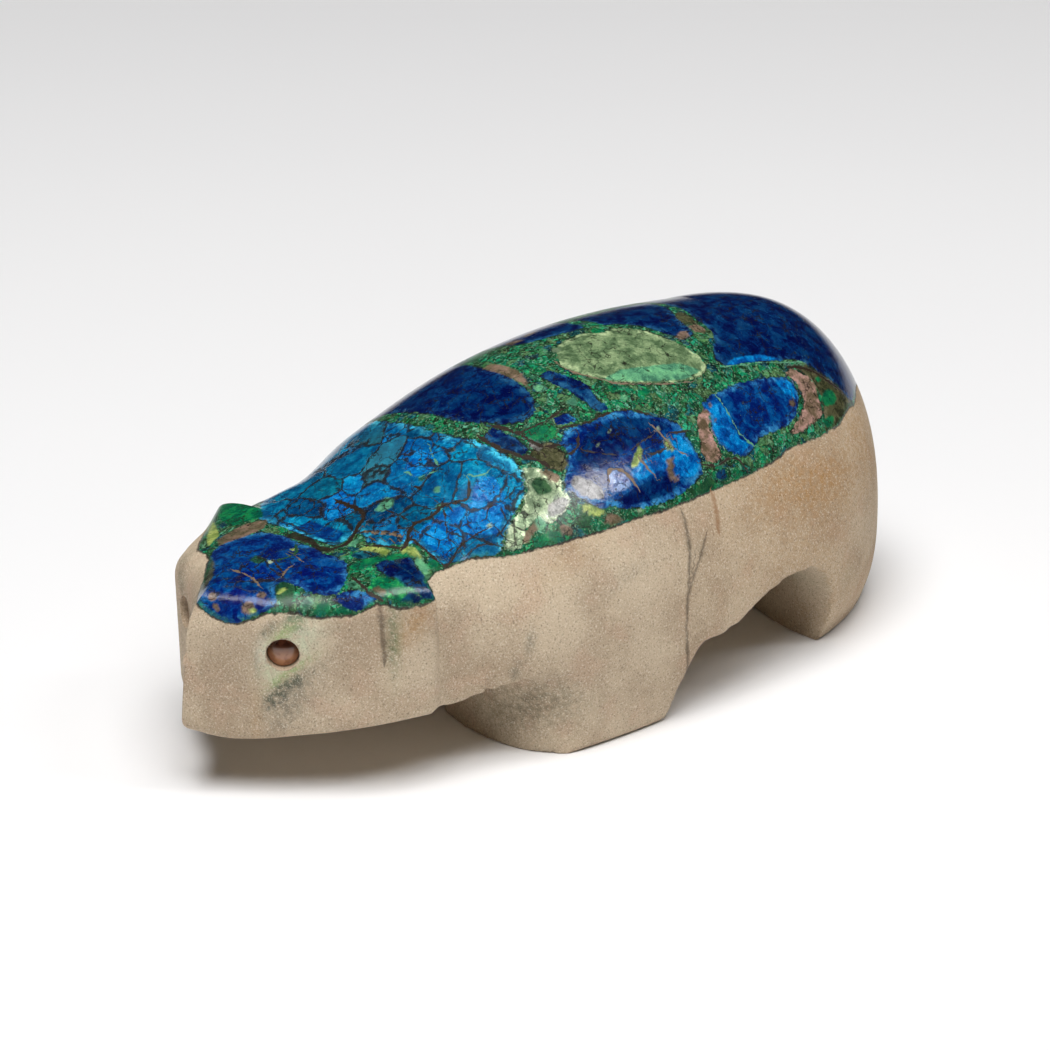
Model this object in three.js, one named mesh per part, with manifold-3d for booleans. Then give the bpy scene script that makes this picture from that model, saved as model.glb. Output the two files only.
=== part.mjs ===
// A small bear carved from one lump of sandstone, with a natural seam of blue and green stone on its
// back, and a stone disc set in each drilled eye. Millimetres, +Z up, nose towards -X, feet on Z = 0.
import * as THREE from "three";
import { mergeVertices } from "three/addons/utils/BufferGeometryUtils.js";
import Module from "manifold-3d";

// Driving dimensions. Every x is measured from just ahead of the nose towards the tail.
const MIDDLE = 38.32;

// One row of the outline in plan: x and half width at the base of the dome, x and half width where the
// wall would meet the floor, height of that base, roundness of the section above it, bow of the wall
// below it (1 is straight), and height of the edge of the blue and green seam.
const row = (x, half, footX, footHalf, base, round, bow, seam) => (
  { x, half, footX, footHalf, base, round, bow, seam }
);
const HEAD = [
  row(0.95, 0, -0.3, 0, 12, 2.3, 0.45, 15.8), // nose
  row(2.8, 2.6, 2, 2.4, 13, 2.2, 1, 15.6), // muzzle
  row(5, 5.5, 4.1, 4.5, 13.7, 2.15, 1, 15.5), // muzzle, just ahead of the eye
  row(7.2, 7.6, 5.6, 6.2, 14.1, 2.15, 1, 15.4), // cheek
  row(9.3, 9.2, 8.8, 9.8, 14.6, 2.3, 1, 15.3), // temple
  row(12.5, 11.1, 12, 12.4, 15.4, 2.3, 1, 15.9), // jaw
  row(15.7, 13.6, 15.4, 12.6, 16.2, 2.3, 1, 16.4), // ear
];
// The face is cut by hand: what the right side has more than the left at the base of the dome and at
// the floor, for each row of the head.
const RIGHT_CHEEK = [0, -0.9, -1.2, 1.3, 1.1, 0.5, 0];
const RIGHT_JAW = [0, -0.9, -1.2, -0.2, 0.6, 0.3, 0];
const BODY = [
  row(16.8, 12.7, 16.8, 13, 8, 4.1, 2.5, 17.4), // notch behind the ear
  row(21.3, 13.8, 21.3, 14.2, 8, 2.6, 2.5, 17.4), // neck
  row(28.3, 16.6, 28.3, 16.2, 8, 2.1, 2.5, 17.7), // shoulder
  row(42.5, 17.5, 42.5, 16.2, 8, 1.95, 2.5, 18.2), // loin
  row(55, 16.7, 55, 13.8, 8, 2, 2.5, 18.8), // hip
];
// The rump closes the outline behind the hip as a superellipse.
const RUMP = { tailX: 76.6, footX: 76.4, round: 2.3, along: 1.7, across: 1.85 };

// The crown of the back along the spine, and the low relief on it: ears and the valley of the nape.
const SPINE = { from: 5.5, to: 60 };
const CROWN_X = [5.5, 10, 15, 18, 22, 28, 36, 44, 52, 60];
const CROWN_Z = [17.3, 18, 18.4, 19.3, 21.1, 24.2, 27.3, 28.6, 28.6, 27.7];
const EAR_RIDGE = { x: 15, y: 10.6, long: 1.6, wide: 2.6, rise: 0.15 };
const EAR_VALLEY = { x: 17.4, y: 10.4, long: 1.3, wide: 3, rise: -0.5 };
const NAPE = { x: 15.9, y: 0, long: 1.1, wide: 6, rise: -0.35 };
const RELIEF_FADE = 4; // power with which the relief runs out towards the edge of the seam

// Height of chin, chest and belly above the floor. Up to CHEST the skin itself ends there; behind it
// the hollows between the legs are cut out of a block that stands on the floor.
const KEEL_X = [0, 3, 8, 12, 16, 20, 24, 28, 43, 46.5, 49, 52, 56];
const KEEL_Z = [5.4, 4.7, 5.4, 6, 6.25, 6.6, 7.5, 7.7, 6, 6.3, 7.4, 8.3, 8.6];
const CHEST = 21;
const FORE = { toe: 25.4, heel: 38.1, front: 2.6, rear: 4.7 };
const HIND = { toe: 60.2, inner: 12, set: 3.6, heel: 71, front: 4.2, lift: 1 };
// Seen from below, the front of each front foot curves back by set from inner half width to the groove,
// and over long from outer half width to the side. The hind feet have an inner and set too.
const PAW = { inner: 9, set: 2.2, outer: 9.2, side: 16.4, long: 4.5 };
const GROOVE = { half: 2.4, high: 4.6, end: 73.5, round: 4, blunt: 0.98 };
const EDGE = { radius: 0.8, fadeFrom: 14, sharp: 0.15 };
const CUT = { below: 2, aside: 22, ahead: 0.7, under: 0.1 };

const EYE = { row: 2.4, z: 12.4, hole: 1.35, disc: 1.05, deep: 2.2, recess: 0.8, floorGap: 0.3 };

// How finely the surface is divided: rows round the outline with stretches of the body as
// [from, to, rows], rings from the spine down to the floor, and steps of the cuts.
const ROWS = { head: 13, notch: 2, rump: 22, crowd: 1.1 };
const STRETCHES = [[16.8, 20.4, 4], [20.4, 34.8, 12], [34.8, 55, 14]];
const RINGS = { dome: 13, wall: 9, edge: 2, under: 2 };
const STEPS = { arch: 10, across: 24, keel: 6, belly: 28, groove: 10, grooveEnd: 4 };

const { clamp } = THREE.MathUtils;

// Cubic curve through values at knots, its slopes taken from the neighbours, and held past the ends.
function smooth(knots, values, at) {
  const last = knots.length - 1;
  const slope = (k) => {
    const a = Math.max(k - 1, 0);
    const b = Math.min(k + 1, last);
    return (values[b] - values[a]) / (knots[b] - knots[a]);
  };
  let i = 0;
  while (i < last - 1 && at >= knots[i + 1]) i += 1;
  const h = knots[i + 1] - knots[i];
  const t = clamp((at - knots[i]) / h, 0, 1);
  const u = 1 - t;
  const ends = values[i] * (1 + 2 * t) * u * u + values[i + 1] * t * t * (3 - 2 * t);
  return ends + h * t * u * (slope(i) * u - slope(i + 1) * t);
}

// A row made from its fields one by one.
const eachField = (make) => row(...Object.keys(HEAD[0]).map(make));

// A row of the outline part of the way along a list of rows.
const rowAt = (rows, knots, at) => eachField((field) => smooth(knots, rows.map((r) => r[field]), at));
const RIGHT_HEAD = HEAD.map((r, k) => (
  { ...r, half: r.half + RIGHT_CHEEK[k], footHalf: r.footHalf + RIGHT_JAW[k] }
));
const headRow = (side, place) => rowAt(side < 0 ? HEAD : RIGHT_HEAD, [...HEAD.keys()], place);
const bodyRow = (x) => rowAt(BODY, BODY.map((r) => r.x), x);

// A row of the rump, a share of the way from the hip to the tail.
function rumpRow(share) {
  const hip = BODY[BODY.length - 1];
  const across = (1 - share ** RUMP.along) ** (1 / RUMP.across);
  const towards = (from, to) => from + (to - from) * share;
  return {
    ...hip,
    x: towards(hip.x, RUMP.tailX),
    half: hip.half * across,
    footX: towards(hip.footX, RUMP.footX),
    footHalf: hip.footHalf * across,
    round: towards(hip.round, RUMP.round),
  };
}

// All rows of one side (-1 is left) from the nose to the tail, closest together at the legs.
function outlineRows(side) {
  const rows = [];
  for (let k = 0; k <= ROWS.head; k += 1) {
    rows.push(headRow(side, (k / ROWS.head) * (HEAD.length - 1)));
  }
  const ear = rows[rows.length - 1];
  for (let k = 1; k < ROWS.notch; k += 1) {
    rows.push(eachField((field) => ear[field] + (BODY[0][field] - ear[field]) * (k / ROWS.notch)));
  }
  rows.push(BODY[0]);
  for (const [from, to, count] of STRETCHES) {
    for (let k = 1; k <= count; k += 1) rows.push(bodyRow(from + ((to - from) * k) / count));
  }
  for (let k = 1; k <= ROWS.rump; k += 1) {
    rows.push(rumpRow(Math.sin((k / ROWS.rump) ** ROWS.crowd * (Math.PI / 2))));
  }
  return rows;
}

const crownAt = (x) => smooth(CROWN_X, CROWN_Z, x);
const spineOf = ({ x }) => clamp(x, SPINE.from, SPINE.to);

// Point of a row's wall at height z: over the base it follows the dome, below it bows in to the foot.
function wallPoint(r, z) {
  if (z >= r.base) {
    const spineX = spineOf(r);
    const up = (z - r.base) / (crownAt(spineX) - r.base);
    const out = (1 - up ** r.round) ** (1 / r.round);
    return [spineX + (r.x - spineX) * out, r.half * out, z];
  }
  const down = (1 - z / r.base) ** r.bow;
  return [r.x + (r.footX - r.x) * down, r.half + (r.footHalf - r.half) * down, z];
}

// The dome of one side's section, from the spine down to the edge of the seam.
function domePoints(r) {
  const spineX = spineOf(r);
  const lowest = Math.asin(((r.seam - r.base) / (crownAt(spineX) - r.base)) ** (r.round / 2));
  const points = [];
  for (let k = 0; k <= RINGS.dome; k += 1) {
    const along = k / RINGS.dome;
    const turn = Math.PI / 2 + (lowest - Math.PI / 2) * along;
    const out = k === 0 ? 0 : Math.cos(turn) ** (2 / r.round);
    const x = spineX + (r.x - spineX) * out;
    const top = crownAt(clamp(x, SPINE.from, SPINE.to)) - r.base;
    const carved = (1 - along ** RELIEF_FADE) * relief(x, r.half * out);
    points.push([x, r.half * out, r.base + top * Math.sin(turn) ** (2 / r.round) + carved]);
  }
  return points;
}

const keelAt = (x) => smooth(KEEL_X, KEEL_Z, x);

// Height at which the skin ends below: keel in front, floor behind, rising a little under the tail.
function lowerEnd([x]) {
  if (x < CHEST) return keelAt(x);
  return HIND.lift * (Math.max(x - HIND.heel, 0) / (RUMP.footX - HIND.heel)) ** 2;
}

// The wall below the seam and the rounded edge under it, then in to the middle of the underside.
function lowerPoints(r) {
  let low = 0;
  for (let k = 0; k < 3; k += 1) low = lowerEnd(wallPoint(r, low));
  const fade = r.x < CHEST ? clamp((CHEST - r.x) / (CHEST - EDGE.fadeFrom), 0, 1) : 1;
  const radius = EDGE.sharp + (EDGE.radius - EDGE.sharp) * fade;
  const points = [];
  for (let k = 1; k <= RINGS.wall; k += 1) {
    points.push(wallPoint(r, r.seam + (low + radius - r.seam) * (k / RINGS.wall)));
  }
  const [footX, footHalf, footZ] = points[points.length - 1];
  const centreX = clamp(footX, SPINE.from, HIND.heel);
  const rim = Math.min(radius / Math.hypot(footX - centreX, footHalf), 1);
  const at = (share) => [centreX + (footX - centreX) * share, footHalf * share];
  for (let k = 1; k <= RINGS.edge; k += 1) {
    const turn = (k / RINGS.edge) * (Math.PI / 2);
    points.push([...at(1 - rim * (1 - Math.cos(turn))), footZ - radius * Math.sin(turn)]);
  }
  for (let k = 1; k <= RINGS.under; k += 1) {
    const flat = at((1 - rim) * (1 - k / RINGS.under));
    points.push([...flat, lowerEnd(flat)]);
  }
  return points;
}

// One side's section, from the spine over the seam and down the wall to the middle of the underside.
const section = (r) => [...domePoints(r), ...lowerPoints(r)];

// Low relief on the dome: a ridge at each ear, a valley behind it, and a shallow one across the nape.
function relief(x, y) {
  const bump = (b) => b.rise * Math.exp(-(((x - b.x) / b.long) ** 2) - ((Math.abs(y) - b.y) / b.wide) ** 2);
  return bump(EAR_RIDGE) + bump(EAR_VALLEY) + bump(NAPE);
}

// Two triangles for each cell between neighbouring rows of points.
function cells(rowCount, perRow, rowsClosed, pointsClosed) {
  const index = [];
  for (let a = 0; a < rowCount - (rowsClosed ? 0 : 1); a += 1) {
    for (let k = 0; k < perRow - (pointsClosed ? 0 : 1); k += 1) {
      const [here, there] = [a * perRow, ((a + 1) % rowCount) * perRow];
      const next = (k + 1) % perRow;
      index.push(here + k, there + k, here + next, there + k, there + next, here + next);
    }
  }
  return index;
}

function meshOf(rows, index) {
  const geometry = new THREE.BufferGeometry();
  geometry.setAttribute("position", new THREE.Float32BufferAttribute(rows.flat(2), 3));
  geometry.setIndex(index);
  return dropSlivers(mergeVertices(geometry, 1e-3));
}

// The closed skin: sections of the left side from tail to nose, then of the right side back again.
function skin() {
  const right = outlineRows(1).map(section);
  const left = outlineRows(-1).map((r) => section(r).map(([x, y, z]) => [x, -y, z]));
  const loop = [...left.reverse(), ...right.slice(0, -1)];
  return meshOf(loop, cells(loop.length, loop[0].length, true, false));
}

// A solid through polygons in a row, each clockwise seen along the row. Fans from the first point of
// the end polygons close it.
function loft(polygons) {
  const rows = [...polygons].reverse();
  const size = rows[0].length;
  const index = cells(rows.length, size, false, true);
  const last = (rows.length - 1) * size;
  for (let k = 1; k < size - 1; k += 1) {
    index.push(0, k, k + 1, last, last + k + 1, last + k);
  }
  return meshOf(rows, index);
}

// Where sections share a point of the spine, merging leaves triangles with two equal corners.
function dropSlivers(geometry) {
  const old = geometry.index.array;
  const kept = [];
  for (let k = 0; k < old.length; k += 3) {
    const [a, b, c] = [old[k], old[k + 1], old[k + 2]];
    if (a !== b && b !== c && c !== a) kept.push(a, b, c);
  }
  geometry.setIndex(kept);
  return geometry;
}

const wasm = await Module();
wasm.setup();

function solidOf(geometry) {
  const bare = geometry.clone();
  bare.deleteAttribute("normal");
  bare.deleteAttribute("uv");
  const merged = mergeVertices(bare, 1e-3);
  const triVerts = new Uint32Array(merged.index.array);
  const vertProperties = merged.attributes.position.array;
  return new wasm.Manifold(new wasm.Mesh({ numProp: 3, vertProperties, triVerts }));
}

function geometryOf(solid) {
  const { vertProperties, triVerts } = solid.getMesh();
  const geometry = new THREE.BufferGeometry();
  geometry.setAttribute("position", new THREE.BufferAttribute(vertProperties, 3));
  geometry.setIndex(new THREE.BufferAttribute(triVerts, 1));
  geometry.computeVertexNormals();
  return geometry;
}

// How far a foot's front edge curves back towards the groove at half width y.
const setBack = (foot, y) => foot.set * (Math.max(foot.inner - y, 0) / foot.inner) ** 2;

// The x of a front foot's front edge at half width y, where the chest hollow meets the floor.
function pawFront(y) {
  const out = clamp((y - PAW.outer) / (PAW.side - PAW.outer), 0, 1);
  return FORE.toe + setBack(PAW, y) + PAW.long * (1 - Math.sqrt(1 - out * out));
}

// The hollow under the chest: it follows the keel back and arches down to the front feet.
function chestHollow() {
  const rows = [];
  for (let j = 0; j <= STEPS.across; j += 1) {
    const y = CUT.aside * (2 * (j / STEPS.across) - 1);
    const front = pawFront(Math.abs(y));
    const start = CHEST - CUT.ahead;
    const points = [[start, y, -CUT.below], [start, y, keelAt(start) - CUT.under]];
    for (let k = 1; k < STEPS.keel; k += 1) {
      const x = CHEST + (front - FORE.front - CHEST) * (k / STEPS.keel);
      points.push([x, y, keelAt(x)]);
    }
    for (let k = 0; k <= STEPS.arch; k += 1) {
      const turn = (k / STEPS.arch) * (Math.PI / 2);
      const x = front - FORE.front * (1 - Math.cos(Math.PI / 2 - turn));
      points.push([x, y, keelAt(x) * Math.cos(turn)]);
    }
    points.push([front, y, -CUT.below]);
    rows.push(points);
  }
  return loft(rows);
}

// The hollow under the belly at half width y: a ramp behind the front legs, an arch to the hind legs.
function bellyProfile(y) {
  const toe = HIND.toe + setBack(HIND, Math.abs(y));
  const middle = (HIND.toe + FORE.heel) / 2;
  const points = [[middle, y, -CUT.below], [FORE.heel, y, -CUT.below]];
  for (let k = 0; k <= STEPS.belly; k += 1) {
    const swing = ((toe - FORE.heel) / 2) * Math.cos((k / STEPS.belly) * Math.PI);
    const x = middle - swing + (toe - HIND.toe) / 2;
    const ramp = THREE.MathUtils.smoothstep(x, FORE.heel, FORE.heel + FORE.rear);
    const arch = Math.sqrt(1 - (1 - clamp((toe - x) / HIND.front, 0, 1)) ** 2);
    points.push([x, y, keelAt(x) * Math.min(ramp, arch)]);
  }
  return [...points, [toe, y, -CUT.below]];
}

function bellyHollow() {
  const rows = [];
  for (let j = 0; j <= STEPS.across / 2; j += 1) {
    rows.push(bellyProfile(HIND.inner * (4 * (j / STEPS.across) - 1)));
  }
  return loft([bellyProfile(-CUT.aside), ...rows, bellyProfile(CUT.aside)]);
}

// The groove between left and right legs, from the chest hollow back to a rounded end under the tail.
function legGroove() {
  const rows = [];
  for (let j = -1; j <= STEPS.grooveEnd; j += 1) {
    const turn = (Math.max(j, 0) / STEPS.grooveEnd) * GROOVE.blunt * (Math.PI / 2);
    const x = j < 0 ? CHEST : GROOVE.end - GROOVE.round * (1 - Math.sin(turn));
    const half = GROOVE.half * Math.cos(turn);
    const high = GROOVE.high * Math.cos(turn);
    const points = [[x, 0, -CUT.below], [x, half, -CUT.below]];
    for (let k = 0; k <= STEPS.groove; k += 1) {
      const round = (k / STEPS.groove) * Math.PI;
      points.push([x, half * Math.cos(round), high * Math.sin(round)]);
    }
    points.push([x, -half, -CUT.below]);
    rows.push(points);
  }
  return loft(rows);
}

// Where the eye sits on the cheek, and the level direction straight out of the wall there.
function eyePlace(side) {
  const nearby = 0.01;
  const before = wallPoint(headRow(side, EYE.row - nearby), EYE.z);
  const after = wallPoint(headRow(side, EYE.row + nearby), EYE.z);
  const size = Math.hypot(after[0] - before[0], after[1] - before[1]);
  const facing = [-(after[1] - before[1]) / size, (after[0] - before[0]) / size];
  return { at: wallPoint(headRow(side, EYE.row), EYE.z), facing };
}

// A round plug along the eye's axis, between two depths below the cheek.
function plug(side, radius, from, to) {
  const { at, facing } = eyePlace(side);
  const out = new THREE.Vector3(facing[0], side * facing[1], 0);
  const centre = new THREE.Vector3(at[0], side * at[1], at[2]).addScaledVector(out, -(from + to) / 2);
  const geometry = new THREE.CylinderGeometry(radius, radius, to - from, 24);
  geometry.applyQuaternion(new THREE.Quaternion().setFromUnitVectors(new THREE.Vector3(0, 1, 0), out));
  return geometry.translate(centre.x, centre.y, centre.z);
}

function carvedBear() {
  const cuts = [chestHollow(), bellyHollow(), legGroove()];
  for (const side of [-1, 1]) cuts.push(plug(side, EYE.hole, -2, EYE.deep));
  return geometryOf(cuts.reduce((solid, cut) => solid.subtract(solidOf(cut)), solidOf(skin())));
}

const sandstone = new THREE.MeshStandardMaterial({ color: 0xb39c82, roughness: 0.7, metalness: 0 });
const eyeStone = new THREE.MeshStandardMaterial({ color: 0x9c6a52, roughness: 0.25, metalness: 0 });

function piece(name, geometry, material) {
  const mesh = new THREE.Mesh(geometry, material);
  mesh.name = name;
  return mesh;
}

const fetish = new THREE.Group();
fetish.add(piece("bear", carvedBear(), sandstone));
for (const [name, side] of [["left_eye", -1], ["right_eye", 1]]) {
  fetish.add(piece(name, plug(side, EYE.disc, EYE.recess, EYE.deep - EYE.floorGap), eyeStone));
}
fetish.position.x = -MIDDLE;

export default fetish;
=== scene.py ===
# %% [markdown]
# # A small carved bear in Blender
#
# The real thing is a bear of about 77 mm, carved by hand from one lump of stone. Its lower part is
# matte tan sandstone, and a natural seam of blue azurite and green malachite covers its back and the
# top of its head and takes a high polish. Two brown stone discs sit in drilled holes as its eyes. This
# file builds that bear as surfaces worked out with numpy, gives it its stone, and sets up the picture.
#
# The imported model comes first. It says where everything is, so nothing below has to be fitted to it.

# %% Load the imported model
import math

import bpy
import numpy as np
from mathutils import Matrix, Vector


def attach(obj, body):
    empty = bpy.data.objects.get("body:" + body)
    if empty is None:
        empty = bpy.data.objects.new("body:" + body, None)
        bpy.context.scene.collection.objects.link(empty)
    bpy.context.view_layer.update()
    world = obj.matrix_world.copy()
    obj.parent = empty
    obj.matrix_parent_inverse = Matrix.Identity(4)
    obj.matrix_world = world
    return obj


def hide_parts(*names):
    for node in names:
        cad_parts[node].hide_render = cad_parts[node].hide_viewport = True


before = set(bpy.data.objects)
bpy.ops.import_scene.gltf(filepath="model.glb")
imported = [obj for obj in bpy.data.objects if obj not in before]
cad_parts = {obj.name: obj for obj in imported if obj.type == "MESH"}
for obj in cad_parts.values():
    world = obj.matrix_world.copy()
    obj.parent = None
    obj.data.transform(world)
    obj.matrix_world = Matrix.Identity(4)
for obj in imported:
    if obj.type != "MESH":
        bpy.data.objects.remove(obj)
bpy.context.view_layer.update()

print("nodes:", sorted(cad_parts))

# %% [markdown]
# ## The outline of the bear
#
# A carver starts from a flat outline drawn on the block. Each row of the table below is one place on
# that outline, seen from above, from the nose round one side to the hip: x and half width where the
# dome of the back begins, the same where the wall meets the floor, the height at which the dome
# begins, how square its section is, how the wall bows in below it, and the height where the mesh
# turns from dome to wall. A smooth curve through a few such rows holds the whole shape, which is
# easier to change than a sculpted mesh. Lengths here are millimetres, and x runs from the nose to
# the tail.

# %% Rows of the outline
MIDDLE = 38.32
HEAD = np.array([
    [0.95, 0, -0.3, 0, 12, 2.3, 0.45, 15.8],
    [2.8, 2.6, 2, 2.4, 13, 2.2, 1, 15.6],
    [5, 5.5, 4.1, 4.5, 13.7, 2.15, 1, 15.5],
    [7.2, 7.6, 5.6, 6.2, 14.1, 2.15, 1, 15.4],
    [9.3, 9.2, 8.8, 9.8, 14.6, 2.3, 1, 15.3],
    [12.5, 11.1, 12, 12.4, 15.4, 2.3, 1, 15.9],
    [15.7, 13.6, 15.4, 12.6, 16.2, 2.3, 1, 16.4],
])
BODY = np.array([
    [16.8, 12.7, 16.8, 13, 8, 4.1, 2.5, 17.4],
    [21.3, 13.8, 21.3, 14.2, 8, 2.6, 2.5, 17.4],
    [28.3, 16.6, 28.3, 16.2, 8, 2.1, 2.5, 17.7],
    [42.5, 17.5, 42.5, 16.2, 8, 1.95, 2.5, 18.2],
    [55, 16.7, 55, 13.8, 8, 2, 2.5, 18.8],
])
RIGHT_CHEEK = (0, -0.9, -1.2, 1.3, 1.1, 0.5, 0)
RIGHT_JAW = (0, -0.9, -1.2, -0.2, 0.6, 0.3, 0)
TAIL = {"x": 76.6, "foot_x": 76.4, "round": 2.3, "along": 1.7, "across": 1.85}
ROWS_CROWD = 1.1
X, HALF, FOOT_X, FOOT_HALF, BASE, ROUND, BOW, RIM = range(8)
RIGHT_HEAD = HEAD.copy()
RIGHT_HEAD[:, HALF] += RIGHT_CHEEK
RIGHT_HEAD[:, FOOT_HALF] += RIGHT_JAW


def smooth(knots, values, at):
    """Cubic curve through values at knots: each piece blends its two end values and the slopes there,
    and the slope at a knot is that of the straight line between its neighbours."""
    knots = np.asarray(knots, float)
    values = np.asarray(values, float)
    last = len(knots) - 1
    before = np.maximum(np.arange(last + 1) - 1, 0)
    after = np.minimum(np.arange(last + 1) + 1, last)
    across = (1,) * (values.ndim - 1)
    slope = (values[after] - values[before]) / (knots[after] - knots[before]).reshape((-1,) + across)
    i = np.clip(np.searchsorted(knots, at, side="right") - 1, 0, last - 1)
    h = knots[i + 1] - knots[i]
    t = np.clip((at - knots[i]) / h, 0, 1)
    h, t = h.reshape(h.shape + across), t.reshape(t.shape + across)
    u = 1 - t
    ends = values[i] * (1 + 2 * t) * u * u + values[i + 1] * t * t * (3 - 2 * t)
    return ends + h * t * u * (slope[i] * u - slope[i + 1] * t)


def rump_rows(count):
    """Rows behind the hip: x goes on to the tail by a share, and the half width shrinks as
    (1 - share ** along) ** (1 / across), which closes the outline in a blunt round. The shares are
    sines, so that the rows crowd together towards the tail."""
    share = np.sin(np.linspace(0, 1, count + 1)[1:] ** ROWS_CROWD * math.pi / 2)
    narrow = (1 - share ** TAIL["along"]) ** (1 / TAIL["across"])
    rows = np.tile(BODY[-1], (count, 1))
    for field, end in ((X, "x"), (FOOT_X, "foot_x"), (ROUND, "round")):
        rows[:, field] += (TAIL[end] - rows[:, field]) * share
    rows[:, HALF] *= narrow
    rows[:, FOOT_HALF] *= narrow
    return rows


def outline_rows(face, head=60, notch=6, body=112, rump=88):
    """Rows from the nose to the tail: a curve through one side of the face, a straight step into the
    notch behind the ear, a curve through the body and the rump."""
    front = smooth(np.arange(len(face)), face, np.linspace(0, len(face) - 1, head))
    step = face[-1] + (BODY[0] - face[-1]) * np.linspace(0, 1, notch + 1)[1:, None]
    back = smooth(BODY[:, X], BODY, np.linspace(BODY[0, X], BODY[-1, X], body + 1)[1:])
    return np.vstack([front, step, back, rump_rows(rump)])


left_rows, right_rows = outline_rows(HEAD), outline_rows(RIGHT_HEAD)
print("outline:", len(left_rows), "rows, widest half", round(left_rows[:, HALF].max(), 1), "mm")

# %% [markdown]
# ## The dome of the back
#
# From the spine the stone curves down to each side like a flattened circle. A superellipse does this
# with one number: with 2 it is a round arch, and more than 2 makes it flatter on top and squarer at
# the edge, as it is just behind the ears. The spine has a height of its own, low over the head and
# high over the hips. In front of its first point and behind its last one the sections fan out from
# that point, so that the muzzle and the rump are round too.

# %% Points of the dome
SPINE = (5.5, 60.0)
CROWN_X = (5.5, 10, 15, 18, 22, 28, 36, 44, 52, 60)
CROWN_Z = (17.3, 18, 18.4, 19.3, 21.1, 24.2, 27.3, 28.6, 28.6, 27.7)
# Low swellings and hollows on the dome: x, distance from the spine, length, width and height.
EAR_RIDGE = (15, 10.6, 1.6, 2.6, 0.15)
EAR_VALLEY = (17.4, 10.4, 1.3, 3, -0.5)
NAPE = (15.9, 0, 1.1, 6, -0.35)


def crown(x):
    """Height of the spine at x."""
    return smooth(CROWN_X, CROWN_Z, x)


def bell(x, y, place):
    """Bell curve round a place on the back, the same on both sides of the spine."""
    middle_x, middle_y, long, wide, rise = place
    return rise * np.exp(-((x - middle_x) / long) ** 2 - ((abs(y) - middle_y) / wide) ** 2)


def relief(x, y):
    """Sum of bell curves, one for each swelling or hollow."""
    return bell(x, y, EAR_RIDGE) + bell(x, y, EAR_VALLEY) + bell(x, y, NAPE)


def column(rows, field):
    """One field of all rows, as a column that spreads over the points of each row."""
    return rows[:, [field]]


def dome_points(rows, count):
    """Points from the spine down to the rim, count steps on each row. With an angle t from 90 degrees
    down, the way out is cos(t) ** (2 / round) and the height is sin(t) ** (2 / round), each taken as a
    share of the half width and of the height of the crown over the dome's base."""
    x, half, base, rnd, rim = (column(rows, field) for field in (X, HALF, BASE, ROUND, RIM))
    spine = np.clip(x, *SPINE)
    lowest = np.arcsin(((rim - base) / (crown(spine) - base)) ** (rnd / 2))
    along = np.linspace(0, 1, count + 1)[None]
    turn = math.pi / 2 + (lowest - math.pi / 2) * along
    out = np.where(along == 0, 0, np.cos(turn).clip(0) ** (2 / rnd))
    px = spine + (x - spine) * out
    py = half * out
    pz = base + (crown(np.clip(px, *SPINE)) - base) * np.sin(turn) ** (2 / rnd)
    return np.stack([px, py, pz + (1 - along ** 4) * relief(px, py)], -1)


print("crown of the back:", round(float(crown(np.array(48.0))), 1), "mm above the floor")

# %% [markdown]
# ## The wall, the chin and the underside
#
# Below the dome the wall bows in a little towards the feet. Under the head it ends at the chin, well
# above the floor; behind the chest it goes down to the floor, and the room between the legs is cut
# out later, the way a carver saws and files it out of the block. A small radius takes the edge off
# all round the bottom.

# %% Points of the wall and of the underside
KEEL_X = (0, 3, 8, 12, 16, 20, 24, 28, 43, 46.5, 49, 52, 56)
KEEL_Z = (5.4, 4.7, 5.4, 6, 6.25, 6.6, 7.5, 7.7, 6, 6.3, 7.4, 8.3, 8.6)
CHEST = 21
HEEL = 71
TAIL_LIFT = 1
EDGE_ROUND = 0.8
EDGE_SHARP = 0.5
EDGE_FADES = 14
DOME_STEPS = 92
WALL_STEPS, EDGE_STEPS, UNDER_STEPS = 50, 5, 5


def keel(x):
    """Height of chin, chest and belly at x."""
    return smooth(KEEL_X, KEEL_Z, x)


def lower_end(x):
    """Height at which the skin ends: the chin in front of the chest, the floor behind it, rising by the
    square of the way from the heel to the tail."""
    behind = np.maximum(x - HEEL, 0) / (TAIL["foot_x"] - HEEL)
    return np.where(x < CHEST, keel(x), TAIL_LIFT * behind ** 2)


def wall_at(rows, z):
    """Points of the wall at heights z: over the base on the dome's superellipse, and under it moved
    towards the foot by (1 - z / base) ** bow."""
    x, half, foot_x, foot_half, base, rnd, bow, _ = (column(rows, field) for field in range(8))
    spine = np.clip(x, *SPINE)
    up = np.clip((z - base) / (crown(spine) - base), 0, 1)
    out = (1 - up ** rnd) ** (1 / rnd)
    down = np.clip(1 - z / base, 0, None) ** bow
    above = z >= base
    px = np.where(above, spine + (x - spine) * out, x + (foot_x - x) * down)
    py = np.where(above, half * out, half + (foot_half - half) * down)
    return np.stack([px, py, z + 0 * px], -1)


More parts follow.
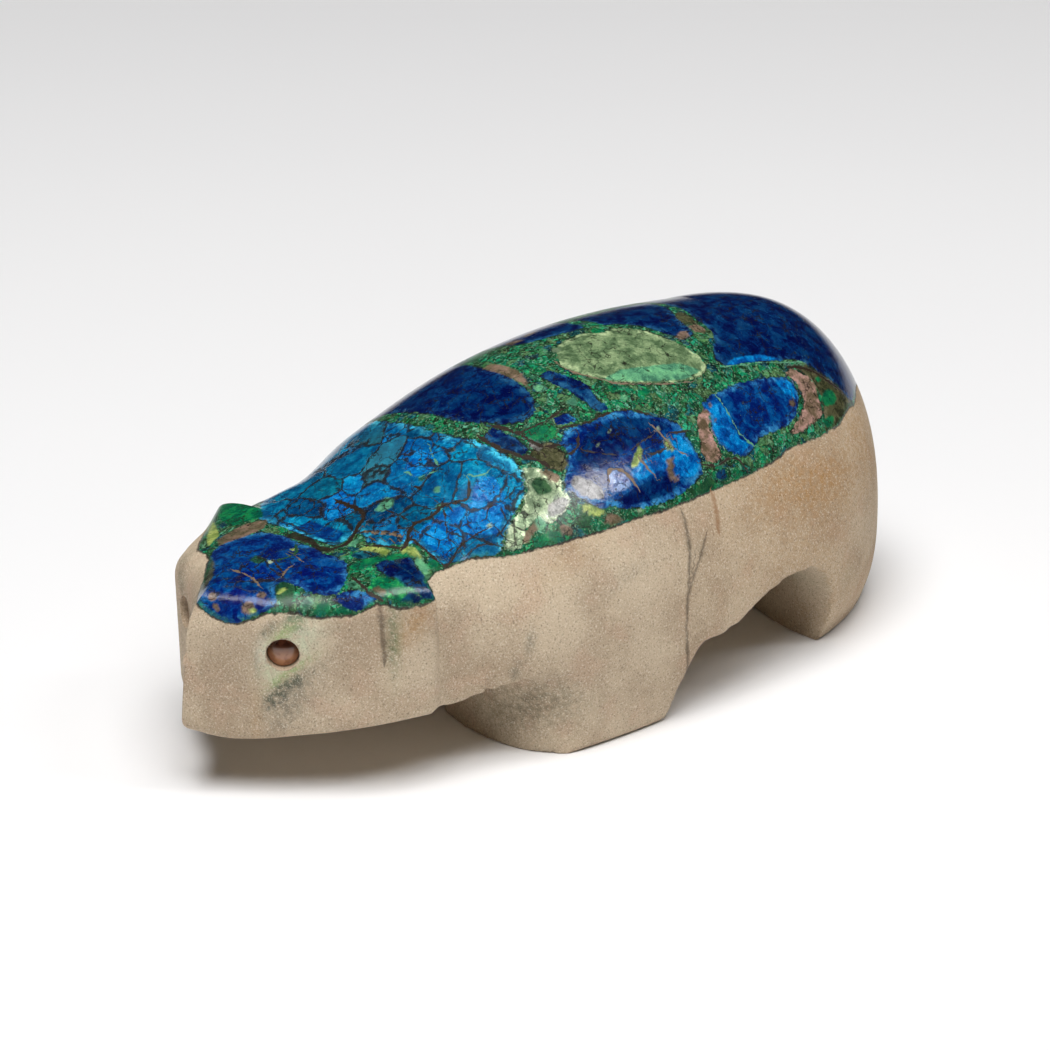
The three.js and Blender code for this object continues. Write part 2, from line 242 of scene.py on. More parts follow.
def lower_points(rows, wall, edge, under):
    """Points from the rim down the wall, a quarter circle round the bottom edge, and the underside in
    to the middle."""
    x, rim = column(rows, X), column(rows, RIM)
    low = np.zeros_like(x)
    for _ in range(3):
        low = lower_end(wall_at(rows, low)[..., 0])
    fade = np.where(x < CHEST, np.clip((CHEST - x) / (CHEST - EDGE_FADES), 0, 1), 1)
    radius = EDGE_SHARP + (EDGE_ROUND - EDGE_SHARP) * fade
    side = wall_at(rows, rim + (low + radius - rim) * np.linspace(0, 1, wall + 1)[None, 1:])
    foot_x, foot_y, foot_z = (side[:, -1:, k] for k in range(3))
    centre = np.clip(foot_x, SPINE[0], HEEL)
    share = np.minimum(radius / np.hypot(foot_x - centre, foot_y), 1)
    turn = np.linspace(0, 1, edge + 1)[None, 1:] * math.pi / 2
    part = 1 - share * (1 - np.cos(turn))
    bend = np.stack([centre + (foot_x - centre) * part, foot_y * part, foot_z - radius * np.sin(turn)], -1)
    part = (1 - share) * (1 - np.linspace(0, 1, under + 1)[None, 1:])
    flat_x = centre + (foot_x - centre) * part
    flat = np.stack([flat_x, foot_y * part, lower_end(flat_x)], -1)
    return np.concatenate([side, bend, flat], 1)


def half_skin(rows):
    """Dome, wall and underside of one side."""
    lower = lower_points(rows, WALL_STEPS, EDGE_STEPS, UNDER_STEPS)
    return np.concatenate([dome_points(rows, DOME_STEPS), lower], 1)


left_half, right_half = half_skin(left_rows), half_skin(right_rows)
print("half a skin:", right_half.shape[0], "x", right_half.shape[1], "points")

# %% [markdown]
# ## A flat map of the hide
#
# The coloured patches follow the surface, so they need a map that lies on it, like a hide taken off
# and spread flat. Here a point's place on the map is its distance from the spine, measured over the
# stone along its own section, laid off in the direction in which that section leaves the spine. The
# first number runs along the bear, and the second is positive on the bear's left side, which is the
# side that the picture shows.

# %% Place of each point on the map
def hide_map(rows, points):
    """Spine point plus the length walked along the section, times the section's direction in plan."""
    spine = np.clip(rows[:, X], *SPINE)
    away = np.stack([rows[:, X] - spine, rows[:, HALF]], -1)
    away /= np.linalg.norm(away, axis=1, keepdims=True)
    steps = np.linalg.norm(np.diff(points, axis=1), axis=2)
    walked = np.concatenate([np.zeros((len(points), 1)), np.cumsum(steps, 1)], 1)
    return np.stack([spine[:, None] + walked * away[:, :1], walked * away[:, 1:]], -1)


left_hide, right_hide = hide_map(left_rows, left_half), hide_map(right_rows, right_half)
print("girth over the back:", round(2 * float(left_hide[:, DOME_STEPS, 1].max()), 1), "mm of dome")

# %% [markdown]
# ## From points to a mesh
#
# Both halves together make one ring of sections, from tail to nose on the left and back on the right.
# Neighbouring sections are joined by four-sided faces. Along the spine and under the belly many
# points fall on each other, so equal points are merged and faces that lost their area are dropped,
# which closes the skin completely.

# %% Build the skin
MM = 0.001


def grid_faces(row_count, per_row, rows_closed, points_closed):
    """Four corners for each cell between neighbouring rows and neighbouring points."""
    a = np.arange(row_count if rows_closed else row_count - 1)[:, None]
    k = np.arange(per_row if points_closed else per_row - 1)[None]
    here, there = a * per_row, (a + 1) % row_count * per_row
    after = (k + 1) % per_row
    return np.stack([here + k, there + k, there + after, here + after], -1).reshape(-1, 4)


def weld(points, faces, extra=None, grain=1e-4):
    """Points closer than the grain become one, and each face keeps its different corners in order."""
    cell = np.round(points / grain).astype(np.int64)
    _, first, same = np.unique(cell, axis=0, return_index=True, return_inverse=True)
    faces = same.reshape(-1)[faces]
    kept = [tuple(dict.fromkeys(face)) for face in faces.tolist()]
    kept = [face for face in kept if len(face) > 2]
    return points[first], kept, None if extra is None else extra[first]


def new_mesh(name, points, faces):
    """A mesh object at the origin from points in millimetres measured from the nose."""
    mesh = bpy.data.meshes.new(name)
    mesh.from_pydata(((points - (MIDDLE, 0, 0)) * MM).tolist(), [], faces)
    mesh.update()
    thing = bpy.data.objects.new(name, mesh)
    bpy.context.scene.collection.objects.link(thing)
    return thing


def mirrored(points, axis=1):
    """The same points on the other side."""
    return points * np.where(np.arange(points.shape[-1]) == axis, -1, 1)


loop = np.concatenate([mirrored(left_half)[::-1], right_half[:-1]])
hide_loop = np.concatenate([left_hide[::-1], mirrored(right_hide)[:-1]])
cells = grid_faces(len(loop), loop.shape[1], True, False)
skin_points, skin_faces, skin_hide = weld(loop.reshape(-1, 3), cells, hide_loop.reshape(-1, 2))
bear = new_mesh("carved_bear", skin_points, skin_faces)
place = bear.data.attributes.new("hide", "FLOAT_VECTOR", "POINT")
place.data.foreach_set("vector", np.column_stack([skin_hide, np.ones(len(skin_hide))]).ravel())
print("skin:", len(bear.data.vertices), "points,", len(bear.data.polygons), "faces")

# %% [markdown]
# ## The room between the legs
#
# Four legs are left standing when three hollows are cut from below: one in front of the front feet,
# an arch right through under the belly, and a groove that parts left and right legs. Each hollow is
# a row of flat outlines joined into a closed body, and a Boolean modifier takes it away. That keeps
# the outside of the bear untouched and gives the same edges that a saw and a file leave.

# %% Outlines of the three hollows
FORE = {"toe": 25.4, "heel": 38.1, "front": 2.6, "rear": 4.7}
HIND = {"toe": 60.2, "inner": 12, "set": 3.6, "front": 4.2}
PAW = {"inner": 9, "set": 2.2, "outer": 9.2, "side": 16.4, "long": 4.5}
GROOVE = {"half": 2.4, "high": 4.6, "end": 73.5, "round": 4}
BELOW = -2
ASIDE = 20
AHEAD = 0.7
UNDERCUT = 0.1
NEARLY = 0.98


def set_back(foot, y):
    """How far a foot's front edge curves back towards the groove at half width y."""
    return foot["set"] * (np.maximum(foot["inner"] - abs(y), 0) / foot["inner"]) ** 2


def paw_front(y):
    """Front edge of a front foot: nearly straight across the toes, then a quarter ellipse back round the
    outside."""
    out = np.clip((abs(y) - PAW["outer"]) / (PAW["side"] - PAW["outer"]), 0, 1)
    return FORE["toe"] + set_back(PAW, y) + PAW["long"] * (1 - np.sqrt(1 - out ** 2))


def chest_hollow(across, along, arch):
    """Follows the keel back from the chest, then a quarter ellipse down to the front of the paws."""
    y = np.linspace(-ASIDE, ASIDE, across)[:, None]
    front = paw_front(y)
    start = np.full_like(y, CHEST - AHEAD)
    x = CHEST + (front - FORE["front"] - CHEST) * np.linspace(0, 1, along)[None, 1:-1]
    turn = np.linspace(0, math.pi / 2, arch)[None]
    bend = front - FORE["front"] * (1 - np.sin(turn))
    all_x = np.concatenate([start, start, x, bend, front], 1)
    low = 0 * y + BELOW
    z = np.concatenate([low, keel(start) - UNDERCUT, keel(x), keel(bend) * np.cos(turn), low], 1)
    return np.stack([all_x, y + 0 * all_x, z], -1)


def belly_hollow(across, along):
    """A ramp up behind the front legs and an arch down to the hind legs, under the height of the keel."""
    y = np.concatenate([[-ASIDE], np.linspace(-HIND["inner"], HIND["inner"], across), [ASIDE]])[:, None]
    toe = HIND["toe"] + set_back(HIND, y)
    middle = (HIND["toe"] + FORE["heel"]) / 2 + 0 * y
    swing = np.cos(np.linspace(0, math.pi, along))[None]
    x = middle - (toe - FORE["heel"]) / 2 * swing + (toe - HIND["toe"]) / 2
    t = np.clip((x - FORE["heel"]) / FORE["rear"], 0, 1)
    ramp = t * t * (3 - 2 * t)
    arch = np.sqrt(1 - (1 - np.clip((toe - x) / HIND["front"], 0, 1)) ** 2)
    low = 0 * y + BELOW
    all_x = np.concatenate([middle, 0 * y + FORE["heel"], x, toe], 1)
    z = np.concatenate([low, low, keel(x) * np.minimum(ramp, arch), low], 1)
    return np.stack([all_x, y + 0 * all_x, z], -1)


def leg_groove(along, round_end, arch):
    """A half ellipse on low walls, carried back from the chest and closed in a quarter round, which
    stops just before it would come to a point."""
    turn = np.linspace(0, NEARLY * math.pi / 2, round_end)[:, None]
    straight = np.linspace(CHEST, GROOVE["end"] - GROOVE["round"], along)[:-1, None]
    x = np.concatenate([straight, GROOVE["end"] - GROOVE["round"] * (1 - np.sin(turn))])
    size = np.concatenate([np.ones_like(straight), np.cos(turn)])
    bend = np.linspace(0, math.pi, arch)[None]
    y = GROOVE["half"] * size * np.concatenate([[[1]], np.cos(bend), [[-1]]], 1)
    z = np.concatenate([0 * x + BELOW, GROOVE["high"] * size * np.sin(bend), 0 * x + BELOW], 1)
    return np.stack([x + 0 * y, y, z], -1)


hollows = {
    "chest_hollow": chest_hollow(101, 14, 22),
    "belly_hollow": belly_hollow(61, 90),
    "leg_groove": leg_groove(90, 14, 26),
}
print("hollows:", {name: body.shape[:2] for name, body in hollows.items()})

# %% [markdown]
# ## Cutting
#
# The cutters are closed like the skin: faces round each row, and one flat face at each end. The
# quick Manifold solver of the Boolean modifier keeps the map values of the points that stay.

# %% Cut the hollows out of the skin
def closed_loft(name, rings):
    """A closed body through outlines in a row, made to face outwards by the sign of its volume."""
    count, size = rings.shape[:2]
    faces = grid_faces(count, size, False, True).tolist()
    faces += [list(range(size)), list(range((count - 1) * size, count * size))[::-1]]
    body = new_mesh(name, rings.reshape(-1, 3), faces)
    if volume_of(body.data) < 0:
        body.data.flip_normals()
    return body


def triangles_of(mesh):
    """Corner numbers of all triangles, and all points, as arrays."""
    mesh.calc_loop_triangles()
    corners = np.empty(len(mesh.loop_triangles) * 3, np.int32)
    mesh.loop_triangles.foreach_get("vertices", corners)
    points = np.empty(len(mesh.vertices) * 3, np.float32)
    mesh.vertices.foreach_get("co", points)
    return corners.reshape(-1, 3), points.reshape(-1, 3).astype(float)


def volume_of(mesh):
    """A sixth of the sum of a . (b x c) over all triangles."""
    corners, points = triangles_of(mesh)
    a, b, c = (points[corners[:, k]] for k in range(3))
    return float((a * np.cross(b, c)).sum() / 6)


def cut_away(piece, cutter):
    """Takes the cutter out of the piece for good."""
    cut = piece.modifiers.new("cut", "BOOLEAN")
    cut.operation, cut.solver, cut.object = "DIFFERENCE", "MANIFOLD", cutter
    bpy.context.view_layer.objects.active = piece
    with bpy.context.temp_override(object=piece, active_object=piece, selected_objects=[piece]):
        bpy.ops.object.modifier_apply(modifier=cut.name)
    bpy.data.objects.remove(cutter)


if volume_of(bear.data) < 0:
    bear.data.flip_normals()
for name, rings in hollows.items():
    cut_away(bear, closed_loft(name, rings))
    print(name, "cut:", round(volume_of(bear.data) * 1e9), "mm3 of stone left")

# %% [markdown]
# ## Softening the sawn edges
#
# On the real bear every edge between the legs has been rubbed soft by sanding and by hands. A Bevel
# can't follow edges that a cut leaves on such a fine mesh, so the points close to a sharp edge are
# moved towards the middle of their neighbours, a little at a time. The further a point is from the
# edge, the less it moves. The soles hardly move, so that the bear still stands flat, and the polished
# back isn't touched.

# %% Sand the edges of the legs
SOLE = 2.5 * MM
LEG_TOP = 11 * MM
CREASE = 28
SOLE_WEIGHT = 0.15
FALL_OFF = 0.9


def edges_of(mesh):
    """Both points of every edge."""
    ends = np.empty(len(mesh.edges) * 2, np.int32)
    mesh.edges.foreach_get("vertices", ends)
    return ends.reshape(-1, 2)


def near_creases(mesh, angle, spread):
    """1 at points of a triangle edge whose two faces meet at more than the angle, falling off with each
    step along the mesh."""
    corners, points = triangles_of(mesh)
    a, b, c = (points[corners[:, k]] for k in range(3))
    normal = np.cross(b - a, c - a)
    normal /= np.linalg.norm(normal, axis=1, keepdims=True) + 1e-20
    sides = np.sort(np.concatenate([corners[:, [0, 1]], corners[:, [1, 2]], corners[:, [2, 0]]]), axis=1)
    face = np.tile(np.arange(len(corners)), 3)
    order = np.lexsort((sides[:, 1], sides[:, 0]))
    sides, face = sides[order], face[order]
    pair = np.flatnonzero((sides[1:] == sides[:-1]).all(1))
    sharp = (normal[face[pair]] * normal[face[pair + 1]]).sum(1) < math.cos(math.radians(angle))
    weight = np.zeros(len(points))
    weight[sides[pair[sharp]].ravel()] = 1
    ends = edges_of(mesh)
    for _ in range(spread):
        wider = weight.copy()
        np.maximum.at(wider, ends[:, 0], weight[ends[:, 1]] * FALL_OFF)
        np.maximum.at(wider, ends[:, 1], weight[ends[:, 0]] * FALL_OFF)
        weight = wider
    return weight * (weight > FALL_OFF ** spread * 1.01)


def sand(mesh, weight, rounds):
    """Each round moves a point half its weight towards the middle of its neighbours."""
    ends = edges_of(mesh)
    _, points = triangles_of(mesh)
    count = np.bincount(ends.ravel(), minlength=len(points))[:, None]
    for _ in range(rounds):
        total = np.zeros_like(points)
        np.add.at(total, ends[:, 0], points[ends[:, 1]])
        np.add.at(total, ends[:, 1], points[ends[:, 0]])
        points += (total / count - points) * 0.5 * weight[:, None]
    mesh.vertices.foreach_set("co", points.astype(np.float32).ravel())
    mesh.update()


weight = near_creases(bear.data, CREASE, 5)
_, points = triangles_of(bear.data)
weight *= (points[:, 2] < LEG_TOP) * np.clip(points[:, 2] / SOLE, SOLE_WEIGHT, 1)
sand(bear.data, weight, 12)
print("sanded:", int((weight > 0).sum()), "points")

# %% [markdown]
# ## The drilled eyes
#
# Each eye is a hole drilled level into the cheek, with a small disc of brown stone glued into it. A
# ring drawn round the drill's axis gives both: the cutter is a plain plug, and the disc has a low
# dome, because such inlay is rounded on the wheel before it is set.

# %% Drill the holes and set the discs
EYE = {
    "row": 2.4, "z": 12.4, "hole": 1.35, "deep": 2.2,
    "disc": 1.27, "rim": 0.72, "dome": 0.36, "floor_gap": 0.3,
}
ROUND_STEPS = 64
OUTSIDE = -2
NEARBY = 0.01


def cheek_point(side, row):
    """Point of the cheek's wall at a row of the face and at the height of the eye."""
    face = HEAD if side < 0 else RIGHT_HEAD
    section = smooth(np.arange(len(face)), face, np.array([row]))
    return wall_at(section, np.array([[EYE["z"]]]))[0, 0]


def eye_place(side):
    """Point of the cheek wall at the eye and the level direction straight out of it."""
    along = cheek_point(side, EYE["row"] + NEARBY) - cheek_point(side, EYE["row"] - NEARBY)
    out = np.array([-along[1], along[0], 0.0])
    return cheek_point(side, EYE["row"]) * (1, side, 1), out / np.linalg.norm(out) * (1, side, 1)


def turned(side, profile):
    """A profile of radius and depth below the cheek, turned about the drill's axis: every point is the
    middle plus radius times (level, up) at the angle, minus depth times the way out."""
    at, out = eye_place(side)
    level, up = np.array([-out[1], out[0], 0]), np.array([0, 0, 1])
    angle = np.arange(ROUND_STEPS) / ROUND_STEPS * 2 * math.pi
    ring = np.cos(angle)[:, None] * level + np.sin(angle)[:, None] * up
    radius, depth = np.array(profile).T
    return at + radius[:, None, None] * ring[None] - depth[:, None, None] * out


def disc_profile(steps):
    """From a small circle at the top of the dome out to the rim by a circle's arc, over a small round,
    and straight back to the glue."""
    share = np.linspace(0.04, 1, steps)
    dome = np.column_stack([share * (EYE["disc"] - 0.08), EYE["rim"] - EYE["dome"] * (1 - share ** 2)])
    disc, rim, back = EYE["disc"], EYE["rim"], EYE["deep"] - EYE["floor_gap"]
    return np.vstack([dome, [[disc - 0.02, rim + 0.03], [disc, rim + 0.1], [disc, back]]])


SHARP = math.radians(38)
eyes = {}
for name, side in (("left_eye", -1), ("right_eye", 1)):
    drill = turned(side, [(EYE["hole"], OUTSIDE), (EYE["hole"], EYE["deep"])])
    cut_away(bear, closed_loft("drill", drill))
    eyes[name] = closed_loft(name + "_disc", turned(side, disc_profile(14)))
    print(eyes[name].name, "at", [round(float(v), 1) for v in eye_place(side)[0] - (MIDDLE, 0, 0)], "mm")
for thing in (bear, *eyes.values()):
    thing.data.shade_smooth()
    thing.data.set_sharp_from_angle(angle=SHARP)
print("bear:", len(triangles_of(bear.data)[0]), "triangles")

# %% [markdown]
# ## Where the seam ends
#
# The blue and green seam is a sheet in the stone, and the carver kept it on top, so on the bear it
# ends in one wavy line all round. The line is written down on the flat map of the hide, left side
# first and then the right side. Each point of the mesh gets its distance from that line, more than
# zero on the seam. A distance stays exact between points, so the edge comes out crisp although the
# mesh is much coarser than the edge. Points that a cut has made have no place on the hide, and are
# put far from everything drawn on it.

# %% Distances on the map
def closest_on_sides(places, corners, closed=True):
    """For places and the sides of a polygon: squared distance to each side and the cross product that
    tells on which hand of it the place lies. A place is first dropped square onto the side and held
    between its ends."""
    start = np.asarray(corners, float)
    end = np.roll(start, -1, axis=0)
    if not closed:
        start, end = start[:-1], end[:-1]
    side = end - start
    off = places[:, None] - start[None]
    along = np.clip((off * side).sum(2) / (side ** 2).sum(1), 0, 1)
    gap = off - along[..., None] * side
    hand = side[:, 0] * off[..., 1] - side[:, 1] * off[..., 0]
    return (gap ** 2).sum(2), hand


def inside_distance(places, corners):
    """Distance to a polygon's outline, positive inside. A place is inside when a line to the right of
    it crosses the outline an odd number of times."""
    square, _ = closest_on_sides(places, corners)
    start = np.asarray(corners, float)
    end = np.roll(start, -1, axis=0)
    between = (start[:, 1] > places[:, 1:2]) != (end[:, 1] > places[:, 1:2])
    rise = np.where(end[:, 1] == start[:, 1], 1, end[:, 1] - start[:, 1])
    meet = start[:, 0] + (places[:, 1:2] - start[:, 1]) * (end[:, 0] - start[:, 0]) / rise
    odd = (between & (meet > places[:, :1])).sum(1) % 2 == 1
    return np.sqrt(square.min(1)) * np.where(odd, 1, -1)


SEAM_EDGE = [
    (1.6, 0.4), (1.65, 1.4), (1.85, 2.4), (2.3, 3.5), (3.2, 4.4), (4.3, 5.0), (5.3, 5.4), (6.1, 6.1),
    (6.8, 6.8), (7.3, 7.5), (7.7, 8.2), (8.4, 8.9), (9.3, 9.6), (10.3, 10.4), (11.2, 10.7), (12.1, 10.8),
    (12.8, 11.6), (13.6, 12.6), (14.4, 13.2), (15.2, 13.8), (16.4, 13.9), (17.0, 13.2), (17.15, 11.3),
    (18.2, 11.1), (20.0, 11.4), (21.8, 11.7), (23.2, 12.7), (24.8, 13.9), (26.4, 14.8), (28.5, 15.9),
    (30.5, 16.6), (32.5, 17.3), (34.5, 17.9), (36.5, 18.3), (39.5, 18.9), (43.0, 19.15), (47.0, 19.1),
    (50.0, 18.85), (53.0, 18.4), (54.6, 17.9), (55.3, 17.5), (58.5, 17.1), (61.5, 16.6), (64.0, 16.1),
    (66.0, 15.0), (68.0, 13.9), (70.0, 13.0), (71.2, 11.7), (73.0, 9.9), (75.0, 8.3), (77.0, 6.7),
    (78.6, 5.0), (79.4, 2.5), (79.8, 0.0), (79.3, -2.6), (78.2, -5.4), (76.4, -7.6), (74.2, -9.3),
    (71.8, -11.4), (69.5, -13.1), (66.6, -14.3), (63.0, -15.9), (58.6, -17.0), (53.6, -18.0), (49.0, -18.6),
    (44.0, -18.5), (39.5, -18.7), (35.0, -17.7), (30.6, -16.8), (26.6, -15.2), (23.6, -13.3), (20.4, -11.8),
    (17.3, -11.5), (17.0, -13.0), (16.2, -13.9), (15.0, -13.5), (13.4, -12.2), (11.6, -10.4), (9.6, -8.6),
    (8.0, -7.0), (7.6, -5.4), (6.9, -4.2), (5.6, -3.1), (4.5, -2.5), (3.1, -1.7), (2.1, -0.7),
]


def read_vectors(mesh, name):
    """A vector attribute as an array."""
    values = np.empty(len(mesh.vertices) * 3, np.float32)
    mesh.attributes[name].data.foreach_get("vector", values)
    return values.reshape(-1, 3).astype(float)


def write_numbers(mesh, name, values):
    """One number for each point."""
    mesh.attributes.new(name, "FLOAT", "POINT").data.foreach_set("value", values.astype(np.float32))


def write_colours(mesh, name, values):
    """One colour for each point."""
    rgba = np.column_stack([values, np.ones(len(values))]).astype(np.float32)
    mesh.attributes.new(name, "FLOAT_COLOR", "POINT").data.foreach_set("color", rgba.ravel())


OFF_THE_HIDE = (0, 40)
hide = read_vectors(bear.data, "hide")
skin_point = hide[:, 2] > 0.5
hide = np.where(skin_point[:, None], hide[:, :2], OFF_THE_HIDE)
seam = inside_distance(hide, SEAM_EDGE)
write_numbers(bear.data, "seam", seam)
print("seam covers", round(100 * float((seam > 0).mean())), "percent of the points")

# %% [markdown]
# ## Patches of the seam
#
# The seam is a breccia: angular pieces of azurite, in all blues, lie in a ground of green malachite,
# with olive, tan and cream bits between them. The big pieces make this bear's face and back, so they
# are drawn one by one on the map, as a maker of inlay would trace them, and the fine ground is left
# to noise later. Each piece is a finish and the corners of its outline. The right side, which no
# picture shows, gets the same kinds of pieces: the drawing is turned end for end and laid over it.

# %% Finishes and outlines of the big pieces
FINISH = {
    "navy": (2, 30, 88), "cobalt": (4, 50, 124), "azure": (8, 108, 190), "turquoise": (6, 106, 156),
    "teal": (8, 66, 90), "malachite": (14, 112, 76), "moss": (34, 76, 50), "mint": (92, 156, 122),
    "pale": (112, 138, 100), "lime": (150, 172, 92), "cream": (150, 172, 138), "olive": (72, 74, 50),
    # the lilac finish is painted highlight: the lavender sheen of the polish, laid on as colour
    "tan": (124, 106, 86), "umber": (46, 36, 28), "sheen_lilac": (118, 130, 180), "grey": (134, 132, 128),
    "rust": (146, 96, 52), "chalk": (224, 220, 200), "slate": (92, 94, 82), "ochre": (176, 136, 88),
}


def linear(colour):
    """Colour of 0 to 255 as seen, as the light that it stands for."""
    share = np.asarray(colour, float) / 255
    return np.where(share <= 0.04045, share / 12.92, ((share + 0.055) / 1.055) ** 2.4)


